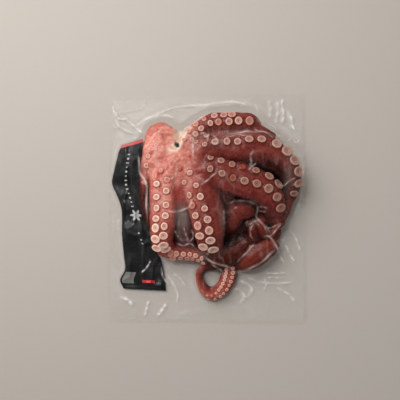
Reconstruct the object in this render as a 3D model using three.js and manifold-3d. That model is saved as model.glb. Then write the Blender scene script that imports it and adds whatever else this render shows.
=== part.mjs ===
// A whole boiled octopus in a clear vacuum bag, with its black film label lying beside it.
// Units are millimetres and +Z is up. The pack lies flat with the suckered side of the octopus
// facing up. The origin is the middle of the bag's outline, on the surface that it lies on.

import * as THREE from 'three';
import { mergeVertices } from 'three/addons/utils/BufferGeometryUtils.js';
import Module from 'manifold-3d';

const wasm = await Module();
wasm.setup();

// ---- driving dimensions ----------------------------------------------------------------------

const BAG_WIDTH = 264;          // across X
const BAG_LENGTH = 304;         // along Y
const BAG_SQUARENESS = 26;      // power of its outline: the corners are a little round
const BAG_SEAL = 6;             // flat seal round the edge
const BAG_RAYS = 72;            // facets round the bag
const BAG_BANDS = [0, 0.12, 0.3, 0.6, 1];  // rings of the margin, from seat to edge
const MARGIN_THICK = 1.9;       // two flat films and the air creased in between them
const MARGIN_WAVE = 0.55;       // height of the soft waves in the margin
const FLOOR_FILM = 1.0;         // the bag's under side, below the food
const MARGIN_OUTWARD = [0.09, -0.05];      // its two crossing waves, in radians a millimetre outwards
const MARGIN_ROUND = [11, 7];   // and their number of waves round the bag
const TENT_HEIGHT = 3;          // how far the film climbs where it leaves the octopus
const TENT_REACH = 9;           // distance over which that climb fades away
const SEAT_WALL = 0.6;          // slant of the seat's wall
const SEAT_GAP = 2.2;           // room between that wall and the widest part of each arm
const OUTLINE_SPLITS = 4;       // places looked at between two points of an arm's route
const SEARCH_STEP = 0.5;        // fineness of the search for the octopus's outline
const GAP = 0.3;                // clearance between neighbouring solids

const ARM_SIDES = 9;            // facets round an arm
const ARM_STEP = 17;            // distance between an arm's sections
const FOLD_SIDES = 7;           // facets round a web or a fold
const FOLD_STEP = 18;           // distance between its sections
const LOBE_SIDES = 11;          // facets round a lobe
const LOBE_BANDS = 6;           // and from its top to its bottom
const FEWEST_SECTIONS = 4;      // sections of the shortest arm
const END_SHRINK = 0.72;        // width of an arm's first and last section
const END_BULGE = 0.45;         // how far its rounded end reaches, as a share of its half width
const SUCKER_SIDES = 6;         // facets round a sucker
const SUCKER_RISE = 1.6;        // how far a sucker's rim stands off the arm
const SUCKER_SINK = 4;          // how deep its stalk goes into the arm
const SUCKER_STALK = 0.85;      // width of its stalk, as a share of its rim
const SUCKER_DISH = 0.45;       // height of its sunken middle, as a share of its rise
const SUCKER_PLACES = 160;      // places along an arm where a sucker can stand
const SUCKER_SMALLEST = 7.6;    // smaller suckers are left out of the solid
const SUCKER_BURIED = 0.93;     // and those this deep in another arm, as a share of its half sizes

const PRESSED = 0.945;          // the film presses the octopus to this share of its height

const LABEL_THICK = 2.6;        // crumpled black film, as a slab
const LABEL_POCKET = 8;         // height of the bag's open pocket over it
const LABEL_FOLD = 1.5;         // height of its folds
const LABEL_LEVEL = 0.6;        // their middle height, as a share of that
const LABEL_DOWN = [1.9, -0.7]; // their two crossing waves, in radians a row
const LABEL_ACROSS = [5.5, 9];  // and in radians across the label

const WELD = 1e-4;              // points closer than this are one
const WIDTH = 3;                // columns of a route: half width,
const HEIGHT = 4;               // half height,
const ROLL = 5;                 // roll
const SUCKER = 6;               // and sucker diameter

// ---- the octopus's arms ----------------------------------------------------------------------
// Each row is one point of the arm's middle line, going away from the mouth:
// [x, y, z, half width, half height, roll, sucker diameter]. Roll turns the suckered side away
// from straight up, in degrees, towards the left of the direction of travel when positive. Spread is
// the angle of a row of suckers from the suckered middle, and left and right say where along the arm
// the suckers of each row stand.

const ARMS = {
  left_big: { spread: 20,
    left: [33, 48, 66, 80, 92, 101.5, 109.5, 118, 133, 141.7, 150.4, 159.1, 167.8, 176.5, 185.2],
    right: [24, 40, 56, 70, 84, 95, 104.5, 114, 138, 146.7, 155.4, 164.1, 172.8, 181.5], route: [
    [-37, 65, 30, 15, 14, 0, 5.5], [-47, 51, 30, 17, 15, 0, 6.5], [-53, 35, 30, 18, 16, -4, 7.5],
    [-54, 16, 30, 18, 16, -4, 8], [-54, -3, 30, 17.5, 16, -5, 8.8], [-55, -21, 30, 16, 15.5, -6, 9.8],
    [-56, -35, 28, 14.8, 15, -7, 11.3], [-55, -46, 20, 13.5, 14, -14, 11.5],
    [-49, -54, 13, 12, 12, -32, 9.5], [-34, -57, 11, 10, 10.5, -36, 7.4],
    [-18, -58, 10, 9.5, 10, -36, 6.8], [-4, -63, 9.5, 9, 9, -36, 6.2], [9, -72, 8, 7.5, 7.5, -30, 4]] },
  middle: { spread: 19, left: [20, 38, 54, 70, 84, 96, 106, 115],
    right: [10, 26, 48, 62, 76, 90, 102, 112], route: [
    [-26, 63, 30, 16, 14, -10, 5.5], [-19, 47, 30, 19, 15, -22, 6.5], [-8, 28, 30, 21, 16, -26, 8],
    [-2, 9, 30, 22, 16.5, -24, 8.8], [3, -10, 30, 22.5, 16.5, -20, 9.4],
    [5, -25, 29, 21, 16, -19, 10.8], [6, -38, 26, 19, 15, -16, 12.2], [7, -48, 18, 15.5, 14, -6, 12],
    [7, -52, 10, 12, 11, 0, 9]] },
  far_left: { route: [
    [-55, 73, 28, 14, 14, 0, 5], [-68, 71, 28, 12, 12, 10, 6], [-74, 59, 25, 10, 11, 22, 7],
    [-77, 45, 19, 9, 10, 22, 7], [-80, 30, 13, 8, 9, 18, 6.5], [-81, 15, 10, 8, 8, 10, 6],
    [-77, -4, 9, 8, 7.5, 0, 5], [-69, -24, 9, 8, 7.5, 0, 4], [-62, -40, 9, 7, 7, 0, 4]] },
  top: { spread: 21, left: [8, 19, 30, 41, 53, 64, 74], right: [12, 22, 32, 46, 58, 70, 82, 94],
    route: [
    [-24, 76, 30, 13, 13, 0, 5.5], [-19, 89, 29, 13, 13, 6, 6.5], [-7, 101, 28, 13, 13, 14, 7.5],
    [8, 109, 27, 13, 13, 17, 8], [26, 110, 27, 13, 13, 17, 9], [44, 110, 26, 13, 13, 24, 10],
    [57, 109.5, 25, 12.5, 12.5, 24, 11.5], [63, 107.5, 17, 11, 11.5, 14, 11]] },
  right_outer: { spread: 20, left: [8, 20],
    right: [16, 29, 43, 57, 71, 85, 100, 114, 125, 135, 145, 156], route: [
    [-14, 70, 30, 14, 14, 15, 5.5], [2, 77, 29, 16, 15, 34, 7.5], [19, 78, 29, 17, 15, 39, 9],
    [40, 77, 28, 18, 15.5, 41, 9.5], [60, 76, 28, 20, 16, 52, 10], [78, 71, 28, 20.5, 16, 62, 12.5],
    [92, 62, 27, 19.5, 16, 67, 14], [103, 51, 26, 17.5, 15.5, 68, 14],
    [108, 39, 23, 14.5, 14.5, 66, 13], [109, 27, 17, 13, 13, 54, 10], [105, 16, 11, 12, 11, 45, 8]] },
  right_inner: { spread: 25, left: [20, 34, 48, 65, 80, 94, 104],
    right: [26, 41, 57, 72, 87, 100, 112, 122], route: [
    [-16, 60, 30, 14, 14, 10, 5.5], [0, 52, 30, 17, 15, 22, 7.5], [17, 45, 30, 19, 15.5, 25, 9],
    [33, 38, 29, 21, 16, 25, 8.5], [49, 34, 29, 21.5, 16, 24, 9.5], [64, 28, 29, 21.5, 16, 31, 11],
    [77, 19, 28, 20, 16, 43, 12.5], [84, 7, 26, 18, 15.5, 56, 13], [87, -5, 21, 15.5, 14.5, 58, 12.5]] },
  top_left_lobe: { route: [
    [-44, 63, 29, 16, 13, 0, 4], [-54, 76, 27, 21, 13, 0, 4], [-58, 88, 24, 22, 12, 0, 4.5],
    [-58, 98, 19, 20, 11.5, 0, 4], [-56, 105, 12, 14, 10, 0, 0]] },
  under_ring: { route: [
    [-58, 94, 11, 11, 10.5, 0, 0], [-35, 80, 11, 12, 10.5, 0, 0], [-10, 88, 11, 12, 10.5, 0, 0],
    [20, 101, 11, 12, 10.5, 0, 0], [50, 99, 11, 12, 10.5, 0, 0], [76, 86, 11, 12, 10.5, 0, 0],
    [97, 66, 11, 12, 10.5, 0, 0], [107, 42, 11, 12, 10.5, 0, 0], [104, 18, 11, 12, 10.5, 0, 0],
    [99, -4, 10.5, 11, 10, 0, 0], [92, -18, 9, 9, 8.5, 0, 0]] },
  tip_loop: { route: [
    [29, -66, 9, 9, 8, 0, 5], [31, -83, 8, 10, 7.5, 0, 5], [27, -96, 7.5, 10, 7, 5, 4.8],
    [18, -107, 7, 9.5, 6.5, 20, 4.4], [6, -112, 6.5, 9, 6.2, 45, 3.6], [-3.5, -105, 6, 7.5, 6, 70, 0],
    [-8, -94, 6, 5.8, 5.5, 90, 0], [-7.5, -83, 5.5, 5.4, 5.2, 90, 0], [0, -77, 5.5, 5, 5, 90, 0],
    [12, -77, 5, 4.6, 4.8, 90, 0]] },
};

// ---- webs between the arms, the head's folds and the body under them ---------------------------
// Folds are arms without suckers; lobes are ellipsoids: [x, y, z, half sizes in x, y, z, turn].

const FOLDS = {
  web_inner: [
    [-28, 62, 26, 30, 17], [-31, 42, 26, 20, 16], [-33, 22, 25, 15, 14], [-33, 6, 22, 13, 12],
    [-32, -3, 17, 12, 10]],
  web_left: [
    [-52, 80, 25, 22, 16], [-62, 76, 25, 20, 15], [-70, 64, 22, 13, 14], [-74, 50, 16, 9, 10]],
  web_outer: [
    [-50, 76, 26, 20, 17], [-62, 58, 25, 14, 14], [-66, 40, 21, 11, 12], [-68, 22, 14, 9, 9]],
  web_middle: [
    [-14, 60, 26, 24, 17], [2, 46, 25, 18, 15], [14, 32, 23, 13, 13], [22, 21, 21, 12, 10],
    [31, 13, 19, 11, 9]],
  web_right: [
    [-16, 70, 26, 24, 17], [4, 64, 23, 14, 13], [26, 60, 17, 9, 9]],
  web_top: [
    [-24, 74, 26, 18, 16], [-8, 86, 26, 13, 14], [8, 94, 24, 10, 13], [26, 96, 23, 9, 12],
    [44, 98, 22, 10, 12], [60, 100, 23, 12, 12], [72, 97, 22, 10, 12], [86, 90, 18, 8.5, 10]],
  mantle_near: [
    [-2, -60, 10, 9, 10], [10, -64, 13, 13, 13], [26, -63, 14, 14, 14], [41, -57, 13, 12, 13],
    [55, -45, 12, 8, 10]],
  mantle_far: [
    [44, -76, 8, 7, 8], [55, -70, 12, 12, 13], [68, -61, 13, 14, 15], [80, -53, 13, 12.5, 14],
    [90, -46, 11, 8, 10]],
  head_lens: [
    [61, -20, 14, 6, 9], [62, -30, 17, 8, 12], [65, -42, 14, 6, 9]],
  head_brow: [
    [69, -18, 15, 6, 9], [74, -27, 17, 7.5, 12], [79, -37, 14, 6, 9]],
  head_rim: [
    [72, -13, 15, 8, 10], [82, -13, 16, 9, 12], [93, -14, 15, 9, 12], [98, -15, 12, 7, 9]],
  head_strip: [
    [79, -41, 12, 4.5, 8], [85, -34, 15, 4.5, 8], [92, -25, 16, 4.5, 8], [99, -19, 13, 4.5, 8]],
  head_corner: [
    [84, -40, 7, 6, 6], [90, -36, 7, 7, 7], [94, -28, 7, 6, 6]],
};

const LOBES = {
  crown: [-27, 60, 24, 42, 30, 19, 0],
  crown_west: [-56, 60, 25, 24, 24, 18, 0],
  crown_left: [-55, 78, 20, 27, 30, 18, 0],
  head_base: [50, -34, 7, 40, 34, 9, 15],
  dome_top: [45, -3, 14, 24, 13, 14, 0],
  dome_low: [36, -14, 13, 12, 24, 14, -26],
  floor_gap: [26, -14, 11, 12, 27, 14, 0],
  floor_left: [-27, -8, 12, 24, 50, 15, 0],
  floor_right: [34, 12, 10, 34, 32, 12, 0],
  core_left: [-22, 30, 13, 55, 56, 14, 0],
  core_right: [50, 54, 14, 56, 44, 15, 0],
  core_top: [-22, 82, 15, 42, 22, 14, 4],
};

const MOUTH = [-36, 80, 38, 3.4, 3.8, 9, 0];  // the hole left by the beak

// ---- the label: [y, left edge x, right edge x] down its length ---------------------------------

const LABEL_ROWS = [
  [92, -113, -85], [74, -119, -86], [54, -122, -88], [34, -127, -91],
  [16, -116, -91], [-4, -113, -87], [-24, -113, -79], [-44, -113, -71],
  [-62, -111, -62], [-82, -109, -57], [-96, -116, -55], [-108, -112, -54],
];
const LABEL_SPLITS = 5;         // facets across the label

// ---- turning meshes into solids and back -------------------------------------------------------

function solidOf(geometry) {
  geometry.deleteAttribute('normal');
  geometry.deleteAttribute('uv');
  const merged = mergeVertices(geometry, WELD);
  const mesh = new wasm.Mesh({
    numProp: 3,
    vertProperties: new Float32Array(merged.attributes.position.array),
    triVerts: new Uint32Array(merged.index.array),
  });
  return new wasm.Manifold(mesh);
}

function geometryOf(solid) {
  const mesh = solid.getMesh();
  const positions = new Float32Array(mesh.numVert * 3);
  for (let v = 0; v < mesh.numVert; v += 1) {
    for (let axis = 0; axis < 3; axis += 1) {
      positions[v * 3 + axis] = mesh.vertProperties[v * mesh.numProp + axis];
    }
  }
  const geometry = new THREE.BufferGeometry();
  geometry.setAttribute('position', new THREE.BufferAttribute(positions, 3));
  geometry.setIndex(new THREE.BufferAttribute(new Uint32Array(mesh.triVerts), 1));
  geometry.computeVertexNormals();
  return geometry;
}

function indexedGeometry(points, faces) {
  const geometry = new THREE.BufferGeometry();
  geometry.setAttribute('position', new THREE.Float32BufferAttribute(points, 3));
  geometry.setIndex(faces);
  return geometry;
}

// A closed skin over rings of points, all with the same count, with a point at each end.
function skinOverRings(rings, firstTip, lastTip) {
  const sides = rings[0].length;
  const points = [...rings.flat(), firstTip, lastTip].flatMap((p) => p.toArray());
  const first = rings.length * sides;
  const last = first + 1;
  const faces = [];
  for (let ring = 0; ring < rings.length - 1; ring += 1) {
    for (let side = 0; side < sides; side += 1) {
      const next = (side + 1) % sides;
      const a = ring * sides + side;
      const b = ring * sides + next;
      faces.push(a, b, b + sides, a, b + sides, a + sides);
    }
  }
  for (let side = 0; side < sides; side += 1) {
    const next = (side + 1) % sides;
    const end = (rings.length - 1) * sides;
    faces.push(first, next, side, last, end + side, end + next);
  }
  return indexedGeometry(points, faces);
}

// ---- arms --------------------------------------------------------------------------------------

// The value of column `field` at parameter t, from 0 at the mouth to 1 at the far end.
function along(route, field, t) {
  const place = t * (route.length - 1);
  const index = Math.min(Math.floor(place), route.length - 2);
  return THREE.MathUtils.lerp(route[index][field], route[index + 1][field], place - index);
}

function armCurve(route) {
  return new THREE.CatmullRomCurve3(route.map((p) => new THREE.Vector3(p[0], p[1], p[2])));
}

function armLength(route) {
  return armCurve(route).getLength();
}

// Frames along an arm: place, direction, side and suckered direction, the last two carried on
// from section to section so that they don't flip where an arm folds down.
function framesAlong(route, count) {
  const curve = armCurve(route);
  const side = new THREE.Vector3().crossVectors(new THREE.Vector3(0, 0, 1), curve.getTangent(0));
  const frames = [];
  for (let index = 0; index <= count; index += 1) {
    const t = index / count;
    const ahead = curve.getTangent(t);
    side.addScaledVector(ahead, -side.dot(ahead)).normalize();
    frames.push({
      t,
      place: curve.getPoint(t),
      ahead,
      side: side.clone(),
      up: new THREE.Vector3().crossVectors(ahead, side),
    });
  }
  return frames;
}

// A point on the arm's oval section, at an angle from its upper side, and its outward direction.
function onSection(frame, halfWidth, halfHeight, angle) {
  const across = Math.sin(angle);
  const upward = Math.cos(angle);
  const point = frame.place.clone()
    .addScaledVector(frame.side, halfWidth * across)
    .addScaledVector(frame.up, halfHeight * upward);
  const outward = new THREE.Vector3()
    .addScaledVector(frame.side, across / halfWidth)
    .addScaledVector(frame.up, upward / halfHeight)
    .normalize();
  return { point, outward };
}

// The arm as a closed tube with an oval section and rounded ends.
function armSolid(route, sides, step) {
  const count = Math.max(FEWEST_SECTIONS, Math.round(armLength(route) / step));
  const frames = framesAlong(route, count);
  const rings = frames.map((frame, index) => {
    const blunt = index === 0 || index === count ? END_SHRINK : 1;
    const width = along(route, WIDTH, frame.t) * blunt;
    const height = along(route, HEIGHT, frame.t) * blunt;
    return Array.from({ length: sides }, (_, side) => (
      onSection(frame, width, height, (-(side + 0.5) / sides) * Math.PI * 2).point));
  });
  const tip = (frame, way) => {
    const reach = Math.min(along(route, WIDTH, frame.t), along(route, HEIGHT, frame.t)) * END_BULGE;
    return frame.place.clone().addScaledVector(frame.ahead, way * reach);
  };
  return solidOf(skinOverRings(rings, tip(frames[0], -1), tip(frames[count], 1)));
}

// Whether a point lies inside one of the other arms.
function buried(point, own) {
  return Object.values(ARMS).filter((arm) => arm !== own).some(({ route }) => (
    framesAlong(route, route.length * OUTLINE_SPLITS).some((frame) => {
      const off = point.clone().sub(frame.place);
      const across = off.dot(frame.side) / along(route, WIDTH, frame.t);
      const upward = off.dot(frame.up) / along(route, HEIGHT, frame.t);
      const lengthwise = off.dot(frame.ahead) / along(route, WIDTH, frame.t);
      return Math.hypot(across, upward, lengthwise) < SUCKER_BURIED;
    })));
}

// Suckers in two rows along the arm, each a short flared stub.
function suckerSolids(arm) {
  const { route, spread, left = [], right = [] } = arm;
  const frames = framesAlong(route, SUCKER_PLACES);
  const curve = armCurve(route);
  const length = curve.getLength();
  const solids = [];
  [[1, left], [-1, right]].forEach(([way, places]) => {
    places.filter((distance) => distance < length).forEach((distance) => {
      const frame = frames[Math.round(curve.getUtoTmapping(distance / length) * SUCKER_PLACES)];
      const diameter = along(route, SUCKER, frame.t);
      const angle = THREE.MathUtils.degToRad(along(route, ROLL, frame.t) + way * spread);
      const width = along(route, WIDTH, frame.t);
      const seat = onSection(frame, width, along(route, HEIGHT, frame.t), angle);
      if (diameter >= SUCKER_SMALLEST && !buried(seat.point, arm)) {
        solids.push(suckerSolid(seat.point, seat.outward, diameter / 2));
      }
    });
  });
  return solids;
}

function suckerSolid(point, outward, radius) {
  const profile = [[SUCKER_STALK, -SUCKER_SINK], [1, SUCKER_RISE]];
  const turn = new THREE.Quaternion().setFromUnitVectors(new THREE.Vector3(0, 0, 1), outward);
  const place = (x, y, z) => new THREE.Vector3(x, y, z).applyQuaternion(turn).add(point);
  const rings = profile.map(([share, height]) => Array.from({ length: SUCKER_SIDES }, (_, side) => {
    const angle = (side / SUCKER_SIDES) * Math.PI * 2;
    return place(Math.cos(angle) * radius * share, Math.sin(angle) * radius * share, height);
  }));
  return solidOf(skinOverRings(rings, place(0, 0, -SUCKER_SINK), place(0, 0, SUCKER_RISE * SUCKER_DISH)));
}

function lobeSolid([x, y, z, rx, ry, rz, turn]) {
  const geometry = new THREE.SphereGeometry(1, LOBE_SIDES, LOBE_BANDS);
  geometry.rotateX(Math.PI / 2);
  geometry.scale(rx, ry, rz);
  geometry.rotateZ(THREE.MathUtils.degToRad(turn));
  geometry.translate(x, y, z);
  return solidOf(geometry);
}

function boxSolid(width, depth, bottom, top) {
  const geometry = new THREE.BoxGeometry(width, depth, top - bottom);
  geometry.translate(0, 0, (top + bottom) / 2);
  return solidOf(geometry);
}

// The octopus in one piece, flat where it lies on the bag's under side.
function octopusSolid() {
  let flesh = null;
  const join = (solid) => {
    flesh = flesh === null ? solid : flesh.add(solid);
  };
  Object.values(LOBES).forEach((lobe) => join(lobeSolid(lobe)));
  Object.values(FOLDS).forEach((route) => join(armSolid(route, FOLD_SIDES, FOLD_STEP)));
  Object.values(ARMS).forEach((arm) => join(armSolid(arm.route, ARM_SIDES, ARM_STEP)));
  Object.values(ARMS).forEach((arm) => suckerSolids(arm).forEach(join));
  const below = boxSolid(BAG_WIDTH, BAG_LENGTH, -BAG_WIDTH, FLOOR_FILM + GAP);
  return flesh.subtract(lobeSolid(MOUTH)).scale([1, 1, PRESSED]).subtract(below);
}

// ---- label -------------------------------------------------------------------------------------

// A slab of crumpled film: its top rises in folds that run askew along it. Grown by a clearance
// and raised, it is the pocket that the bag keeps free for it.
function labelSolid(grow = 0, raise = 0) {
  const rings = LABEL_ROWS.map(([y, left, right], row) => {
    const end = row === 0 ? 1 : row === LABEL_ROWS.length - 1 ? -1 : 0;
    const top = Array.from({ length: LABEL_SPLITS + 1 }, (_, column) => {
      const share = column / LABEL_SPLITS;
      const x = THREE.MathUtils.lerp(right + grow, left - grow, share);
      const edge = column === 0 || column === LABEL_SPLITS ? 0 : 1;
      const fold = Math.sin(row * LABEL_DOWN[0] + share * LABEL_ACROSS[0])
        * Math.cos(row * LABEL_DOWN[1] + share * LABEL_ACROSS[1]);
      const height = FLOOR_FILM + GAP + LABEL_THICK + edge * LABEL_FOLD * (LABEL_LEVEL + fold) + raise;
      return new THREE.Vector3(x, y + end * grow, height);
    });
    const bottom = top.map((p) => new THREE.Vector3(p.x, p.y, FLOOR_FILM + GAP - grow)).reverse();
    return [...top, ...bottom];
  });
  const middle = (ring) => ring
    .reduce((sum, p) => sum.add(p), new THREE.Vector3())
    .divideScalar(ring.length);
  return solidOf(skinOverRings(rings, middle(rings[0]), middle(rings[rings.length - 1])));
}

// ---- bag ---------------------------------------------------------------------------------------

// How far a point lies outside the octopus's outline, negative inside it.
function outsideOctopus(x, y) {
  let nearest = Infinity;
  const routes = [...Object.values(ARMS).map((arm) => arm.route), ...Object.values(FOLDS)];
  routes.forEach((route) => {
    const count = (route.length - 1) * OUTLINE_SPLITS;
    for (let index = 0; index <= count; index += 1) {
      const t = index / count;
      const away = Math.hypot(x - along(route, 0, t), y - along(route, 1, t)) - along(route, WIDTH, t);
      nearest = Math.min(nearest, away);
    }
  });
  Object.values(LOBES).forEach(([cx, cy, , rx, ry]) => {
    nearest = Math.min(nearest, (Math.hypot((x - cx) / rx, (y - cy) / ry) - 1) * Math.min(rx, ry));
  });
  return nearest;
}

// The film's edge distance from the middle in one direction, on a rectangle with round corners.
function bagReach(angle) {
  const overX = Math.abs(Math.cos(angle)) / (BAG_WIDTH / 2);
  const overY = Math.abs(Math.sin(angle)) / (BAG_LENGTH / 2);
  return 1 / (overX ** BAG_SQUARENESS + overY ** BAG_SQUARENESS) ** (1 / BAG_SQUARENESS);
}

// The octopus's edge distance in one direction, found by walking in from the bag's edge.
function octopusReach(angle, edge) {
  let reach = edge - BAG_SEAL;
  while (outsideOctopus(Math.cos(angle) * reach, Math.sin(angle) * reach) > SEAT_GAP) reach -= SEARCH_STEP;
  return reach + SEARCH_STEP;
}

// The bag as a slab: its under side is flat, a seat inside the octopus's outline holds it, and
// outside that the film climbs against its flank and runs out in a softly waved margin.
function bagSolid() {
  const wall = Array.from({ length: BAG_RAYS }, (_, ray) => {
    const angle = (ray / BAG_RAYS) * Math.PI * 2;
    const edge = bagReach(angle);
    return { angle, edge, seat: octopusReach(angle, edge) };
  });
  const widest = (ray) => Math.max(...[-1, 0, 1].map((step) => (
    wall[(ray + step + BAG_RAYS) % BAG_RAYS].seat)));
  const at = (angle, reach, height) => new THREE.Vector3(
    Math.cos(angle) * reach, Math.sin(angle) * reach, height);
  const ring = (height, reachOf) => wall.map(({ angle, edge }, ray) => (
    at(angle, reachOf(edge, widest(ray)), height(angle, reachOf(edge, widest(ray)), widest(ray)))));
  const flat = (height) => () => height;
  const draped = (angle, reach, seat) => {
    const wave = Math.sin(reach * MARGIN_OUTWARD[0] + angle * MARGIN_ROUND[0])
      * Math.cos(reach * MARGIN_OUTWARD[1] + angle * MARGIN_ROUND[1]);
    return MARGIN_THICK + MARGIN_WAVE * wave + TENT_HEIGHT * Math.exp((seat - reach) / TENT_REACH);
  };
  const rings = [
    ring(flat(FLOOR_FILM), (edge, seat) => seat / 2),
    ring(flat(FLOOR_FILM), (edge, seat) => seat),
    ...BAG_BANDS.map((share) => ring(draped, (edge, seat) => (
      THREE.MathUtils.lerp(seat + SEAT_WALL, edge, share)))),
    ring(flat(0), (edge) => edge),
  ];
  return solidOf(skinOverRings(rings.reverse(), at(0, 0, 0), at(0, 0, FLOOR_FILM)));
}

// ---- the pack ----------------------------------------------------------------------------------

const MATERIALS = {
  octopus: { color: 0x9c4a3c, roughness: 0.45, metalness: 0 },
  label: { color: 0x1c1d20, roughness: 0.4, metalness: 0 },
  film_bag: { color: 0xd9dcdc, roughness: 0.15, metalness: 0 },
};

const SOLIDS = {
  octopus: octopusSolid(),
  label: labelSolid(),
  film_bag: bagSolid().subtract(labelSolid(GAP, LABEL_POCKET)),
};

const pack = new THREE.Group();
Object.entries(SOLIDS).forEach(([name, solid]) => {
  const mesh = new THREE.Mesh(geometryOf(solid), new THREE.MeshStandardMaterial(MATERIALS[name]));
  mesh.name = name;
  pack.add(mesh);
});

export default pack;
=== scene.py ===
"""A whole boiled octopus, suckered side up, sealed in a clear vacuum bag beside its black label.

The file is laid out as a Blender add-on. Sizes and colours that a user would change are properties,
each group of pieces has its own operator, and main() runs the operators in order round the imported
solids. The tables below are in millimetres; new_mesh() turns them into metres.
"""

import math
from itertools import product
from typing import NamedTuple

import bpy
import numpy as np
from bpy.props import FloatProperty, FloatVectorProperty, IntProperty, PointerProperty
from mathutils import Matrix, Vector


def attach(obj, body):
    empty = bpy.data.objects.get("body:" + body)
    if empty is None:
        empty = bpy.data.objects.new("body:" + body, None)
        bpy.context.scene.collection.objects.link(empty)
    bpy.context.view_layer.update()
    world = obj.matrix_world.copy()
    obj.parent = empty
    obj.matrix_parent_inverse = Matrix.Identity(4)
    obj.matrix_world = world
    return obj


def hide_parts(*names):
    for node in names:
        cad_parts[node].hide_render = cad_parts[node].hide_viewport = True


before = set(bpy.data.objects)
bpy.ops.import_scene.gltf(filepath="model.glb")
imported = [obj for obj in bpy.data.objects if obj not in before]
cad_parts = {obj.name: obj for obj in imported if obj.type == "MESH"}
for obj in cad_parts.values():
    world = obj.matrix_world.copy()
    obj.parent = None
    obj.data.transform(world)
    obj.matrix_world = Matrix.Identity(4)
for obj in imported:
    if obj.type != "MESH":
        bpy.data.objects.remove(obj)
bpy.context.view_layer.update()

bl_info = {
    "name": "Vacuum Packed Octopus",
    "version": (1, 0, 0),
    "blender": (4, 5, 0),
    "location": "3D View > Sidebar > Octopus",
    "description": "Builds a boiled octopus in clear film round its packed solids",
    "category": "Add Mesh",
}

MM = 0.001  # metres in a millimetre

# ---- the octopus ---------------------------------------------------------------------------------

def evenly(first, last, pitch):
    """Places at equal distances along an arm."""
    return tuple(first + pitch * index for index in range(int((last - first) / pitch) + 1))


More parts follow.
